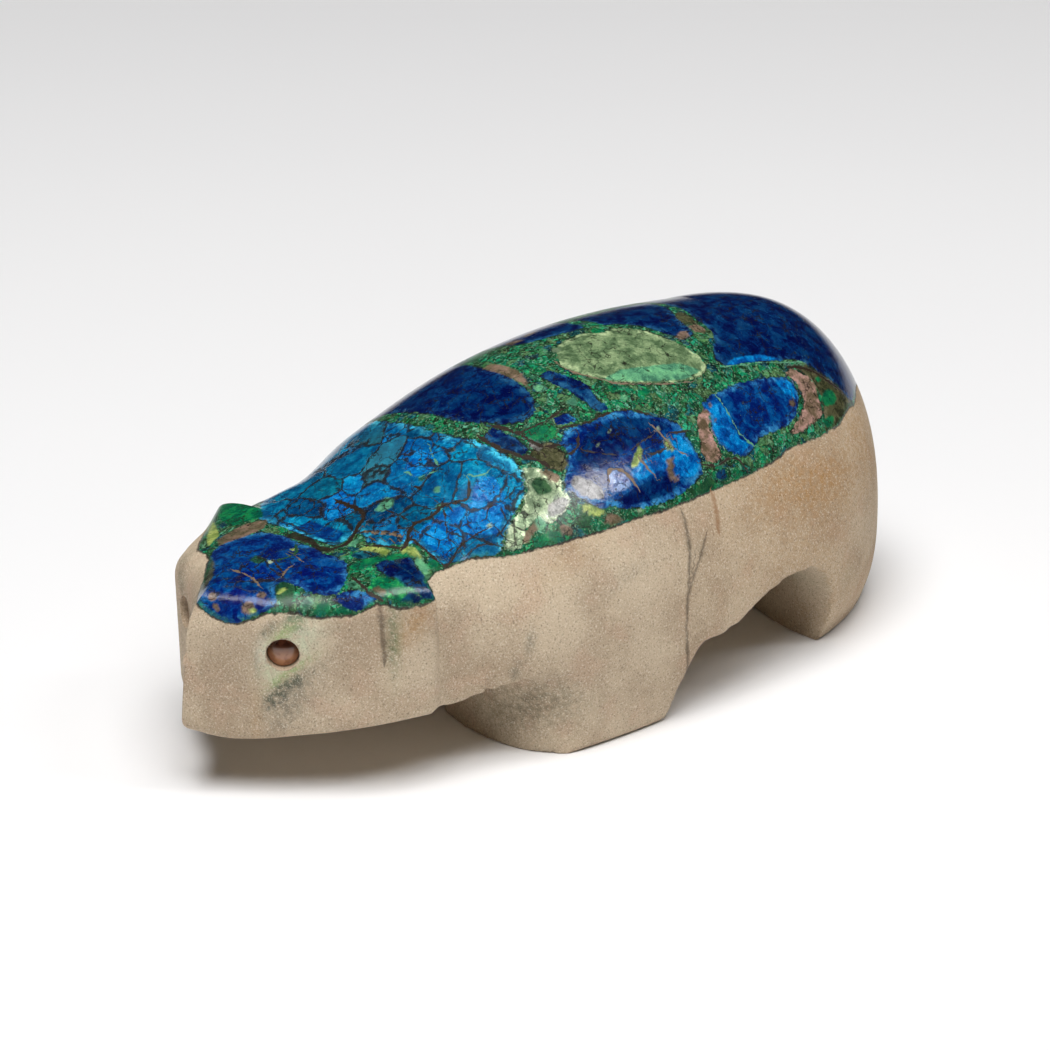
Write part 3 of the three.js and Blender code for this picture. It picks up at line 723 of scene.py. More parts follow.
PIECES = [
    # head
    ("cobalt", [(1.7, -1.2), (1.7, 1.8), (2.2, 3.3), (3.2, 4.3), (4.8, 5.0), (6.2, 5.4), (7.0, 4.2),
                (7.8, 3.7), (8.3, 4.8), (8.6, 6.4), (9.4, 7.6), (10.4, 8.1), (11.6, 7.4), (12.3, 6.6),
                (13.2, 5.8), (13.6, 4.6), (13.1, 3.4), (13.2, 1.6), (13.0, 0), (13.2, -2.0), (12.5, -4.2),
                (10, -5.4), (8, -5.0), (6.6, -4.0), (5.2, -2.8), (3.6, -1.5)]),
    ("navy", [(14.6, 7.5), (15.6, 7.3), (16.6, 8.0), (17.4, 8.5), (17.5, 9.4), (17.1, 10.8), (17.0, 12.6),
              (16.7, 13.7), (15.7, 13.9), (15.0, 13.0), (14.7, 11.6), (14.4, 10.0), (14.2, 8.6)]),
    ("malachite", [(12.5, 9.2), (13.2, 8.7), (13.9, 8.9), (14.4, 9.8), (14.7, 11.0), (14.9, 12.4),
                   (14.2, 12.8), (13.6, 12.2), (13.0, 11.3), (12.6, 10.4)]),
    ("cobalt", [(9.6, 8.2), (10.6, 8.2), (11.4, 8.6), (12.0, 9.4), (12.4, 10.6), (11.4, 10.5), (10.4, 10.1),
                (9.9, 9.3)]),
    ("teal", [(14.3, 4.9), (15.3, 4.6), (16.3, 5.6), (16.4, 6.7), (15.3, 6.3), (14.4, 5.8)]),
    # neck and front of the back
    ("turquoise", [(14.2, -6.0), (14.3, 1.0), (14.6, 2.5), (16.6, 2.3), (17.0, 3.2), (16.4, 4.4),
                   (17.1, 6.4), (18.3, 7.3), (18.8, 8.4), (19.1, 10.8), (20.5, 11.3), (22.0, 11.7),
                   (23.2, 12.6), (24.2, 13.2), (25.2, 12.2), (27.0, 11.5), (28.6, 10.8), (29.4, 9.2),
                   (29.6, 8.0), (29.2, 6.0), (28.7, 4.0), (28.0, 2.0), (27.7, 0), (27.8, -5.5),
                   (28.6, -9.0), (29.0, -12.4), (24.0, -12.6), (20.0, -11.4), (17.9, -10.6), (16.2, -8.8),
                   (14.7, -7.4)]),
    ("cream", [(26.0, 12.0), (27.6, 11.7), (28.9, 10.8), (29.7, 9.0), (30.5, 9.5), (31.3, 10.7),
               (32.0, 12.0), (31.4, 12.7), (31.9, 13.7), (30.6, 14.3), (29.0, 14.2), (28.2, 13.2),
               (26.9, 13.3), (26.2, 14.2), (25.2, 13.8), (24.7, 13.1)]),
    ("navy", [(29.3, 4.4), (30.6, 4.1), (30.9, 5.5), (31.3, 7.2), (31.2, 8.1), (30.4, 8.1), (29.8, 7.0),
              (29.5, 5.6)]),
    ("olive", [(31.0, 8.5), (32.2, 8.2), (33.2, 8.9), (33.5, 10.2), (33.1, 11.4), (32.3, 11.5),
               (31.4, 10.2)]),
    ("navy", [(29.6, -12.6), (29.3, -9.0), (29.1, -5.0), (29.4, 1.0), (30.3, 3.0), (31.1, 4.3),
              (31.7, 5.1), (32.7, 5.7), (34.0, 5.8), (34.9, 4.6), (35.3, 3.2), (35.5, 1.0), (35.7, -3.0),
              (36.8, -8.0), (38.0, -12.6)]),
    ("navy", [(37.2, 2.8), (38.1, 2.7), (38.7, 3.8), (39.3, 5.4), (39.7, 6.3), (39.3, 7.4), (39.6, 9.1),
              (38.8, 9.1), (38.3, 8.4), (38.0, 7.0), (37.7, 5.2), (37.3, 4.2)]),
    ("cobalt", [(34.5, 7.2), (35.8, 7.3), (36.4, 7.9), (36.5, 8.6), (35.7, 8.4), (34.8, 8.0)]),
    # middle of the back
    ("cobalt", [(33.7, 9.3), (34.8, 8.8), (36.2, 9.0), (37.4, 9.4), (38.8, 9.4), (40.6, 9.7),
                (41.6, 10.3), (42.8, 11.2), (44.0, 12.0), (44.9, 12.8), (45.1, 14.0), (45.3, 15.4),
                (45.4, 16.6), (45.0, 17.4), (44.0, 17.9), (42.2, 18.3), (40.2, 18.3), (38.4, 18.0),
                (37.0, 17.5), (35.8, 17.0), (35.2, 16.4), (33.8, 15.9), (33.0, 14.8), (32.3, 13.6),
                (31.8, 12.9), (32.2, 12.0), (33.2, 11.3), (33.9, 10.4)]),
    ("pale", [(39.4, 3.0), (40.1, 1.8), (41.0, 0.7), (42.5, 0.1), (44.6, 0.2), (45.7, 1.3), (47.2, 1.2),
              (48.4, 1.8), (49.4, 3.0), (50.3, 4.6), (51.0, 6.0), (51.6, 7.4), (51.4, 8.8), (50.2, 9.4),
              (48.6, 9.5), (46.6, 9.1), (44.8, 8.5), (43.2, 7.8), (42.0, 7.2), (41.2, 6.4), (40.3, 5.4),
              (39.7, 4.4)]),
    ("navy", [(39.9, -12.0), (39.9, -6.4), (40.0, -3.6), (40.5, -2.5), (41.7, -1.9), (42.9, -1.4),
              (44.4, -0.9), (45.7, -0.6), (46.1, -3.5), (46.6, -12.0)]),
    ("navy", [(46.9, -3.5), (47.2, 0.2), (48.6, 1.0), (49.8, 2.2), (50.7, 4.0), (51.3, 4.6), (52.0, 5.2),
              (53.2, 4.9), (53.6, 3.2), (54.2, 1.4), (54.9, 0.0), (55.2, -3.0)]),
    # rump
    ("navy", [(55.7, -6.0), (56.0, 1.0), (55.4, 3.0), (55.4, 4.8), (54.8, 6.0), (53.6, 7.0), (52.9, 8.2),
              (53.4, 9.0), (55.6, 9.1), (58.6, 9.3), (61.4, 9.6), (62.8, 10.0), (63.8, 10.7),
              (65.2, 11.4), (66.8, 11.9), (68.0, 12.6), (69.4, 12.9), (71.5, 11.2), (74.0, 9.2),
              (77.0, 6.9), (79.2, 4.0), (80.2, 0), (79.4, -4.0), (76.0, -8.4), (71.0, -12.6),
              (66.0, -12.2), (60.0, -9.0)]),
    ("cobalt", [(48.3, 11.9), (50.4, 11.3), (53.6, 10.9), (57.0, 10.9), (59.2, 11.2), (59.6, 12.4),
                (59.1, 13.5), (58.0, 14.7), (56.6, 15.5), (54.6, 15.8), (52.8, 16.0), (51.8, 16.6),
                (50.8, 17.2), (49.8, 17.2), (48.8, 16.4), (48.1, 15.2), (48.0, 14.2), (48.7, 13.0)]),
    ("tan", [(59.3, 10.8), (60.2, 10.4), (61.4, 11.0), (62.5, 12.0), (62.2, 13.2), (61.9, 14.8),
             (60.8, 15.4), (58.8, 15.9), (57.4, 16.3), (56.4, 16.2), (57.8, 15.3), (59.0, 14.4),
             (59.9, 13.2), (60.0, 11.8)]),
    ("tan", [(47.0, 13.0), (48.4, 12.3), (48.7, 12.8), (47.8, 13.9), (47.7, 15.2), (47.9, 16.4), (47.2, 17.1),
             (46.2, 16.8), (45.8, 15.9), (46.4, 14.4)]),
    ("olive", [(60.4, 10.1), (62.4, 10.2), (64.6, 11.1), (67.0, 12.2), (69.0, 13.1), (67.0, 14.3),
               (65.0, 15.3), (63.0, 16.3), (61.2, 16.5), (62.1, 14.9), (62.7, 13.2), (62.7, 12.0),
               (61.6, 10.9)]),
]
print(len(PIECES), "big pieces with", sum(len(corners) for _, corners in PIECES), "corners")

# %% [markdown]
# ## Bits on the pieces
#
# Smaller bits lie on the pieces and in the ground: lime and cream clots, tan chips, green squares and
# brighter zones inside the blues. They are a second layer, so that their edges don't disturb those
# of the pieces under them.

# %% Outlines of the bits
def disc(u, w, radius, squash=1.0):
    """Corners of a small uneven round."""
    turn = np.arange(9) / 9 * 2 * math.pi
    uneven = radius * (1 + 0.12 * np.sin(2.3 * turn + u))
    return [(u + r * math.cos(t), w + r * squash * math.sin(t)) for r, t in zip(uneven, turn)]


BITS = [
    # head
    ("malachite", [(12.9, 6.2), (14.0, 5.9), (15.2, 6.3), (16.5, 7.2), (17.8, 8.1), (17.5, 8.5), (16.4, 8.0),
                   (15.2, 7.3), (14.2, 7.1), (13.2, 7.0)]),
    ("lime", [(15.5, 4.4), (16.1, 4.6), (16.6, 5.6), (16.8, 6.9), (16.2, 7.0), (16.0, 5.9)]),
    ("lime", [(17.3, 7.4), (18.0, 7.4), (18.4, 8.1), (18.2, 9.2), (17.7, 8.6)]),
    ("mint", [(17.3, 9.4), (18.1, 8.8), (18.0, 10.2), (17.5, 11.2), (17.1, 11.1)]),
    ("malachite", disc(18.5, 10.4, 0.5)), ("mint", disc(15.9, 3.3, 0.55, 0.7)),
    ("mint", disc(13.5, 4.7, 0.3)),
    ("umber", [(13.0, -2.0), (14.2, -2.0), (14.3, 0.4), (13.8, 1.6), (14.1, 2.7), (13.3, 3.3), (13.1, 2.0),
               (13.4, 0.8)]),
    ("mint", disc(11.8, 8.1, 0.5)), ("moss", disc(11.8, 8.1, 0.26)),
    ("mint", disc(7.9, 7.0, 0.5)), ("malachite", disc(7.9, 7.0, 0.3)),
    ("malachite", [(7.9, 8.0), (8.6, 7.6), (9.2, 8.2), (9.0, 8.9), (8.3, 8.7)]),
    ("malachite", [(9.2, 9.0), (9.9, 9.2), (10.3, 10.1), (9.6, 9.7)]),
    ("tan", [(12.5, 9.6), (13.0, 9.5), (13.3, 10.3), (12.9, 10.9)]),
    ("navy", [(13.5, 11.9), (14.6, 11.9), (15.0, 13.1), (14.2, 12.9)]),
    ("cream", disc(9.2, 0.9, 0.42, 0.6)), ("lime", disc(11.9, 0.7, 0.35, 0.8)),
    ("moss", [(8.3, -0.9), (9.2, -0.9), (9.3, 0.4), (8.8, 0.6), (8.3, 0.3)]),
    ("tan", disc(4.4, 3.9, 0.55)), ("lime", disc(4.6, 4.4, 0.28)), ("tan", disc(5.8, 3.8, 0.35)),
    ("moss", [(6.4, 4.9), (7.2, 3.8), (8.0, 3.9), (8.2, 5.0), (7.4, 5.9), (6.8, 6.3)]),
    ("lime", disc(7.2, 4.6, 0.4, 0.6)), ("tan", disc(3.0, 0.8, 0.4)), ("tan", disc(2.6, 1.7, 0.25, 1.6)),
    ("olive", [(3.0, -0.4), (5.2, -1.5), (6.6, -3.0), (7.8, -5.6), (6.6, -5.2), (4.6, -3.0), (3.0, -1.6)]),
    ("tan", [(9.0, -5.2), (11.0, -4.6), (13.2, -4.6), (14.6, -5.8), (13.2, -6.8), (11.2, -6.8), (9.6, -6.4)]),
    ("lime", [(8.8, -6.4), (10.6, -7.2), (12.4, -10.0), (13.8, -12.4), (12.8, -11.8), (11.0, -9.4),
              (9.4, -7.4)]),
    ("malachite", [(12.2, -7.6), (14.8, -6.6), (16.0, -8.4), (16.6, -11.0), (15.8, -13.4), (14.6, -12.6),
                   (13.2, -10.2)]),
    # neck
    ("azure", [(23.6, 1.0), (24.6, 0.2), (25.8, 0.4), (26.0, 2.0), (25.0, 3.1), (24.2, 2.9), (23.5, 2.3)]),
    ("azure", [(19.2, 7.2), (20.6, 6.9), (22.4, 7.1), (23.6, 7.6), (24.7, 8.2), (25.6, 7.4), (26.6, 7.0),
               (27.4, 8.0), (27.2, 9.6), (26.2, 11.0), (24.8, 11.8), (23.4, 10.6), (21.4, 10.2),
               (19.6, 10.6)]),
    ("cobalt", [(14.8, -3.0), (16.4, -2.6), (16.6, 1.4), (15.2, 1.8), (14.9, 0.4)]),
    ("mint", [(19.4, 2.0), (20.9, 1.6), (21.1, 2.6), (20.4, 3.2), (19.6, 2.8)]),
    ("mint", disc(22.6, 6.4, 0.35)), ("cream", disc(27.0, 3.2, 0.2)), ("tan", disc(25.5, 9.6, 0.2)),
    ("mint", disc(23.6, 5.0, 0.35)), ("moss", disc(23.8, 3.1, 0.35)), ("cream", disc(24.7, 10.8, 0.2)),
    ("turquoise", [(27.2, 9.0), (28.2, 8.6), (29.2, 8.9), (28.9, 10.2), (27.8, 10.8), (27.0, 10.2)]),
    ("moss", [(29.4, 10.7), (30.3, 10.3), (30.8, 11.2), (30.8, 12.2), (29.9, 12.1), (29.4, 11.6)]),
    ("mint", [(27.9, 13.2), (28.5, 13.0), (28.8, 13.9), (28.2, 14.3), (27.8, 14.0)]),
    ("malachite", [(27.4, 14.5), (28.6, 14.6), (29.4, 15.2), (29.8, 16.1), (28.6, 15.8), (27.6, 15.2)]),
    ("tan", [(26.2, 13.9), (27.0, 13.3), (28.0, 13.2), (27.7, 13.9), (26.6, 14.2)]),
    ("tan", [(29.6, 14.9), (30.3, 15.0), (30.7, 15.9), (30.3, 16.2), (29.8, 15.8)]),
    ("tan", [(30.6, 10.0), (31.4, 10.5), (32.0, 11.8), (31.3, 12.0), (30.9, 11.0)]),
    ("grey", [(29.6, 12.9), (31.0, 12.9), (31.6, 13.8), (30.4, 14.2), (29.2, 13.8)]),
    ("lime", [(32.2, 14.6), (32.8, 14.8), (34.2, 16.4), (33.4, 16.4), (32.6, 15.4)]),
    ("moss", [(31.2, 15.4), (32.2, 15.0), (32.9, 16.0), (32.2, 16.6), (31.4, 16.2)]),
    ("malachite", [(31.7, 6.3), (33.2, 6.7), (34.2, 7.3), (34.3, 8.2), (33.7, 8.7), (32.8, 8.5),
                   (32.0, 7.6)]),
    ("grey", [(31.4, 7.9), (31.9, 7.5), (32.4, 8.6), (31.9, 8.9)]),
    ("tan", [(35.5, -2.5), (36.5, -2.5), (36.6, 0.8), (36.1, 2.2), (35.5, 3.4)]),
    ("mint", disc(36.2, 3.9, 0.5)), ("mint", disc(37.2, 6.9, 0.45)), ("malachite", disc(41.4, 7.5, 0.6, 0.7)),
    ("mint", disc(41.6, 8.8, 0.45, 0.6)), ("malachite", disc(43.8, 9.1, 0.6, 0.6)),
    # middle of the back
    ("azure", [(41.6, 14.4), (43.0, 13.2), (44.6, 13.9), (45.1, 15.4), (45.2, 16.6), (44.2, 17.5),
               (42.8, 17.0), (41.0, 15.8), (38.6, 15.8), (37.9, 14.9), (39.2, 14.5)]),
    ("navy", [(35.6, 16.1), (38.4, 16.1), (41.2, 16.3), (42.6, 17.4), (41.0, 17.9), (38.4, 17.6),
              (36.4, 17.0)]),
    ("navy", [(34.0, 11.2), (36.4, 10.0), (40.0, 10.2), (43.2, 11.8), (44.2, 12.8), (42.2, 12.9),
              (38.8, 12.9), (35.6, 13.2), (34.2, 12.6)]),
    ("grey", [(32.4, 12.8), (33.2, 12.3), (34.2, 13.5), (34.9, 14.8), (34.6, 15.4), (33.5, 14.9),
              (32.8, 13.9)]),
    # a pale bit whose lilac colour is painted highlight, the lavender sheen of the polish
    ("sheen_lilac", [(35.9, 14.0), (36.9, 13.9), (37.5, 14.8), (37.6, 15.7), (36.5, 15.8), (35.5, 15.3)]),
    ("lime", [(38.3, 14.4), (38.9, 13.9), (39.6, 13.4), (40.2, 13.0), (40.2, 13.7), (39.6, 14.3),
              (38.8, 14.7)]),
    ("lime", [(42.7, 13.6), (43.1, 13.8), (43.4, 14.6), (42.9, 14.8), (42.6, 14.3)]),
    ("cream", disc(42.8, 12.6, 0.16)), ("cream", disc(38.4, 10.9, 0.14)), ("cream", disc(36.6, 11.4, 0.14)),
    ("tan", [(42.0, 15.1), (42.8, 15.3), (42.3, 16.3), (42.4, 17.3), (41.6, 16.9), (41.6, 16.0)]),
    ("tan", [(33.6, 17.1), (34.4, 16.6), (35.2, 17.2), (35.5, 17.9), (34.3, 17.7)]),
    ("mint", [(41.2, 6.3), (43.4, 6.2), (46.4, 7.0), (49.2, 7.6), (50.6, 8.9), (48.6, 9.3), (46.6, 8.9),
              (44.8, 8.3), (43.2, 7.6), (42.0, 7.0)]),
    ("malachite", disc(45.8, 0.6, 0.55)), ("cream", disc(40.9, 0.9, 0.4)), ("cream", disc(37.4, 17.9, 0.2)),
    # rump
    ("tan", [(51.2, 4.7), (52.4, 4.1), (53.0, 4.3), (52.6, 5.0), (51.6, 5.2)]),
    ("olive", [(53.7, 2.2), (54.6, 1.2), (55.3, 1.2), (55.2, 2.8), (55.0, 3.6), (53.6, 3.4)]),
    ("tan", [(53.6, 3.6), (54.9, 3.7), (54.9, 4.6), (54.4, 5.2), (53.7, 4.6)]),
    ("azure", [(48.4, 12.1), (50.2, 11.6), (50.6, 13.4), (50.5, 15.6), (51.4, 16.4), (49.9, 17.0),
               (48.9, 16.2), (48.2, 15.0), (48.2, 14.2), (49.0, 13.2)]),
    ("azure", [(57.6, 11.3), (59.1, 11.4), (59.4, 12.3), (58.8, 13.3), (57.9, 12.6)]),
    ("tan", disc(49.2, 12.1, 0.3, 0.7)), ("tan", disc(58.2, 13.6, 0.35)), ("cream", disc(52.8, 12.7, 0.12)),
    ("tan", disc(49.0, 13.6, 0.2)),
    ("azure", [(53.6, 9.0), (57, 9.1), (60.0, 9.4), (58.0, 8.5), (55.0, 8.4)]),
    ("malachite", [(62.5, 13.5), (63.9, 12.7), (65.4, 12.6), (65.6, 13.4), (64.6, 14.0), (62.7, 14.3)]),
    ("malachite", [(61.4, 15.5), (63.2, 15.1), (63.8, 15.3), (62.8, 16.1), (61.7, 16.3)]),
    ("malachite", [(62.9, 11.6), (63.8, 11.4), (64.0, 11.8), (63.1, 12.0)]),
    ("navy", [(46.4, 17.8), (47.6, 17.7), (47.6, 18.4), (46.9, 18.6), (46.4, 18.3)]),
    ("moss", [(43.2, 18.6), (45.6, 17.9), (46.0, 18.2), (46.1, 18.8), (44.4, 19.0)]),
    ("malachite", [(48.6, 18.3), (49.8, 18.2), (49.9, 18.8), (48.8, 18.9)]),
]
print(len(BITS), "bits")

# %% [markdown]
# ## Veins
#
# Dark cracks run between the pieces and through them, brown where iron has stained them and cream
# where calcite filled them, and a few go on into the sandstone. A vein is thinner than the mesh, so a
# plain distance would be lost between two points. The trick is a signed one: positive on one hand
# of the vein and negative on the other. It passes through zero exactly on the vein, so the shader can
# draw a line of any thinness. A second, unsigned number keeps false zeros away.

# %% Paths of the veins
VEINS = [
    # finish, half width, path
    ("umber", 0.20, [(14.0, 2.9), (15.4, 2.9), (16.6, 2.6), (17.8, 2.1), (18.7, 1.6), (19.0, 0.6),
                     (18.9, -2)]),
    ("tan", 0.16, [(17.2, 3.0), (17.6, 4.4), (18.1, 5.4), (18.4, 6.2)]),
    ("umber", 0.12, [(17.0, 2.8), (17.9, 4.4), (18.6, 5.9)]),
    ("umber", 0.12, [(16.2, 4.4), (16.6, 5.6), (17.2, 6.8), (17.6, 7.4)]),
    ("umber", 0.18, [(17.6, 7.5), (18.4, 7.3), (18.9, 6.7), (19.6, 6.3), (20.2, 6.2)]),
    ("umber", 0.07, [(20.1, 6.1), (20.0, 4.6), (19.9, 3.0)]),
    ("umber", 0.16, [(20.2, 6.2), (21.2, 6.6), (22.2, 6.7), (22.8, 6.5)]),
    ("umber", 0.07, [(22.8, 6.3), (22.8, 4.6), (22.9, 3.2)]),
    ("umber", 0.15, [(22.8, 6.5), (23.6, 7.0), (24.3, 7.5), (24.7, 7.8), (25.2, 7.2), (25.7, 6.7)]),
    ("umber", 0.06, [(22.6, 7.0), (22.0, 8.0), (21.4, 8.8), (21.2, 9.4)]),
    ("umber", 0.10, [(18.8, 7.2), (18.8, 8.6), (19.0, 10.2), (19.4, 11.2)]),
    ("umber", 0.10, [(19.6, 11.2), (20.6, 10.8), (21.6, 10.4), (22.6, 10.4), (23.6, 10.6), (24.2, 10.8)]),
    ("umber", 0.10, [(21.9, 11.3), (22.8, 11.3), (23.6, 11.8), (24.1, 12.2)]),
    ("mint", 0.07, [(23.6, 1.2), (23.5, 2.6), (24.2, 3.1), (25.0, 3.8), (25.4, 3.0), (25.8, 2.0),
                    (26.3, 1.2)]),
    ("mint", 0.08, [(26.2, 6.4), (26.8, 7.2), (27.6, 7.2)]),
    ("mint", 0.06, [(26.9, 8.0), (27.0, 7.2)]),
    ("umber", 0.18, [(29.2, 4.3), (29.3, 5.6), (29.7, 7.0), (30.4, 8.3), (31.0, 9.0), (31.6, 10.2)]),
    ("umber", 0.15, [(30.8, 4.2), (31.2, 5.4), (31.7, 6.8), (31.9, 7.8), (32.4, 8.8), (33.4, 9.4)]),
    ("umber", 0.10, [(34.2, 8.2), (35.6, 8.7), (37.2, 9.3), (38.6, 9.3), (40.2, 9.6), (41.4, 10.0),
                     (42.6, 11.0)]),
    ("umber", 0.12, [(33.9, 10.6), (34.6, 10.7), (35.1, 10.4), (35.5, 9.8)]),
    ("umber", 0.07, [(35.2, 11.2), (36.0, 11.8), (36.8, 12.4), (38.4, 13.4), (40.0, 13.0), (41.6, 12.9)]),
    ("tan", 0.13, [(35.8, 14.3), (36.3, 13.5), (37.2, 14.1), (37.7, 14.7), (38.0, 15.9)]),
    ("tan", 0.11, [(39.6, 14.4), (39.9, 15.2), (40.2, 16.0)]),
    ("tan", 0.08, [(42.4, 12.1), (42.9, 13.5), (43.2, 14.6), (44.0, 15.3)]),
    ("umber", 0.09, [(40.6, 14.2), (41.4, 14.4), (42.4, 14.3)]),
    ("umber", 0.10, [(43.8, 13.3), (44.4, 13.5), (45.2, 13.6)]),
    ("tan", 0.08, [(39.5, 2.2), (39.3, 3.2), (39.8, 4.6), (40.4, 5.5), (41.3, 6.5), (42.0, 7.3), (43.2, 7.9),
                   (44.8, 8.6), (46.6, 9.2), (48.6, 9.6)]),
    ("umber", 0.12, [(31.4, 6.2), (32.6, 6.6), (34.2, 7.0), (36.0, 7.0)]),
    ("umber", 0.12, [(45.4, 16.7), (46.6, 17.3), (47.4, 17.3), (48.6, 16.9), (49.6, 17.4), (50.0, 18.2)]),
    ("umber", 0.13, [(12.2, 7.6), (12.2, 8.8), (12.1, 9.8), (12.6, 10.8)]),
    ("tan", 0.10, [(6.5, -0.4), (6.7, 1.0), (6.4, 2.7)]),
    ("umber", 0.10, [(9.4, 1.0), (9.1, 2.0), (8.7, 3.0)]),
    ("tan", 0.12, [(8.6, 3.2), (9.2, 2.9), (9.8, 2.8)]),
    ("moss", 0.14, [(9.6, 1.1), (10.6, 1.5), (11.3, 1.5), (12.0, 0.8), (12.6, 0.1)]),
    ("tan", 0.08, [(11.2, 1.4), (11.0, 2.4)]),
    ("umber", 0.16, [(60.0, 10.2), (61.6, 10.4), (63.4, 10.9), (65.2, 11.8), (67.4, 12.5)]),
    ("mint", 0.06, [(53.2, 9.1), (57.0, 9.3), (60.4, 9.8), (62.4, 9.9)]),
    ("mint", 0.07, [(50.4, 11.6), (50.7, 13.4), (50.6, 15.2), (51.6, 16.3)]),
    # veins of the sandstone
    ("umber", 0.03, [(41.6, 20.0), (41.5, 22.5), (40.7, 25.2), (40.0, 28.4), (40.3, 31.7), (40.4, 33.0)]),
    ("umber", 0.02, [(43.4, 22.4), (42.6, 23.6), (41.4, 24.9), (40.6, 26.2)]),
    ("rust", 0.11, [(45.4, 19.4), (45.3, 20.6), (44.9, 22.4)]),
    ("umber", 0.06, [(12.15, 11.2), (12.2, 12.8), (12.3, 15.6)]),
]


def rounded(path, rounds=2):
    """Cuts every corner of a path: each side keeps its middle half, so the path turns smoothly."""
    path = np.asarray(path, float)
    for _ in range(rounds):
        near, far = path[:-1] * 0.75 + path[1:] * 0.25, path[:-1] * 0.25 + path[1:] * 0.75
        middle = np.stack([near, far], 1).reshape(-1, 2)
        path = np.vstack([path[:1], middle[1:-1], path[-1:]])
    return path


print(len(VEINS), "veins")

# %% [markdown]
# ## Laying the drawing on the bear
#
# Every point of the seam now looks up the drawing. For the pieces it keeps the distance to the edge
# of the piece that it is deepest in, and that piece's finish, so the shader can cut the piece out
# sharply and still know its colour on both sides of the cut. Bits may lie on each other, and there the
# one that was drawn last wins. Only points near a shape are asked, because there are many of both.

# %% Work out the layers
RIGHT_TURN = 95.0
HEAD_ENDS = 17.5
FAR = -9.0
FAR_ENOUGH = -2


def on_other_side(corners):
    """Corners laid on the right side: along the body end for end, across it mirrored."""
    return np.column_stack([RIGHT_TURN - corners[:, 0], -corners[:, 1]])


def repeated(corners, off_spine):
    """Whether a shape is repeated on the right side: not when it reaches over the spine already, and
    not when it belongs to the head."""
    return corners[:, 1].min() > off_spine and corners[:, 0].min() > HEAD_ENDS


def both_sides(drawing):
    """The shapes as drawn and those that are repeated on the right side."""
    shapes = [(finish, np.asarray(corners, float)) for finish, corners in drawing]
    laid_over = [(finish, on_other_side(corners)) for finish, corners in shapes
                 if repeated(corners, off_spine=1.5)]
    return shapes + laid_over


def around(places, corners, margin):
    """Which places lie in the box round the corners, widened by the margin."""
    return np.flatnonzero(((places > corners.min(0) - margin) & (places < corners.max(0) + margin)).all(1))


def layer(places, shapes, margin, stacked):
    """Greatest inside distance over all shapes, and the finish of the shape that gives it. Where
    stacked shapes hold the same point, the last one wins."""
    best = np.full(len(places), FAR)
    colour = np.tile(linear(FINISH["malachite"]), (len(places), 1))
    for finish, corners in shapes:
        near = around(places, corners, margin)
        distance = inside_distance(places[near], corners)
        wins = distance > best[near]
        if stacked:
            wins |= distance > 0
        best[near[wins]] = distance[wins]
        colour[near[wins]] = linear(FINISH[finish])
    return np.maximum(best, FAR_ENOUGH), colour


piece_distance, piece_colour = layer(hide, both_sides(PIECES), margin=1, stacked=False)
bit_distance, bit_colour = layer(hide, both_sides(BITS), margin=0.6, stacked=True)
write_numbers(bear.data, "piece", piece_distance)
write_colours(bear.data, "piece_finish", piece_colour)
write_numbers(bear.data, "bit", bit_distance)
write_colours(bear.data, "bit_finish", bit_colour)
print("points in a piece:", int((piece_distance > 0).sum()), "in a bit:", int((bit_distance > 0).sum()))

# %% [markdown]
# ## The veins as signed distances
#
# The veins are laid on the bear in the same way. Beside the signed distance goes the half width of the
# nearest vein. The shader takes one off the other, so that one threshold draws all veins, each at its
# own width.

# %% Work out the veins
NO_VEIN = 5.0


def vein_layer(places, veins, margin=1.5):
    """Signed distance to the nearest vein, its unsigned distance, its half width and its finish."""
    apart = np.full(len(places), NO_VEIN)
    signed = np.full(len(places), NO_VEIN)
    width = np.full(len(places), 0.1)
    colour = np.tile(linear(FINISH["umber"]), (len(places), 1))
    for finish, half_width, path in veins:
        path = rounded(path)
        near = around(places, path, margin)
        square, hand = closest_on_sides(places[near], path, closed=False)
        nearest = square.argmin(1)
        pick = np.arange(len(near))
        distance = np.sqrt(square[pick, nearest])
        wins = distance < apart[near]
        apart[near[wins]] = distance[wins]
        signed[near[wins]] = (distance * np.sign(hand[pick, nearest]))[wins]
        width[near[wins]] = half_width
        colour[near[wins]] = linear(FINISH[finish])
    return signed, apart, width, colour


veins = [(finish, half, np.asarray(path, float)) for finish, half, path in VEINS]
veins += [(finish, half, on_other_side(path)) for finish, half, path in veins
          if repeated(path, off_spine=1)]
signed, apart, width, vein_colour = vein_layer(hide, veins)
vein = bear.data.attributes.new("vein", "FLOAT_VECTOR", "POINT")
vein.data.foreach_set("vector", np.column_stack([signed, apart, width]).astype(np.float32).ravel())
write_colours(bear.data, "vein_finish", vein_colour)
print("veins:", len(veins), "- points on one:", int((apart < width).sum()))
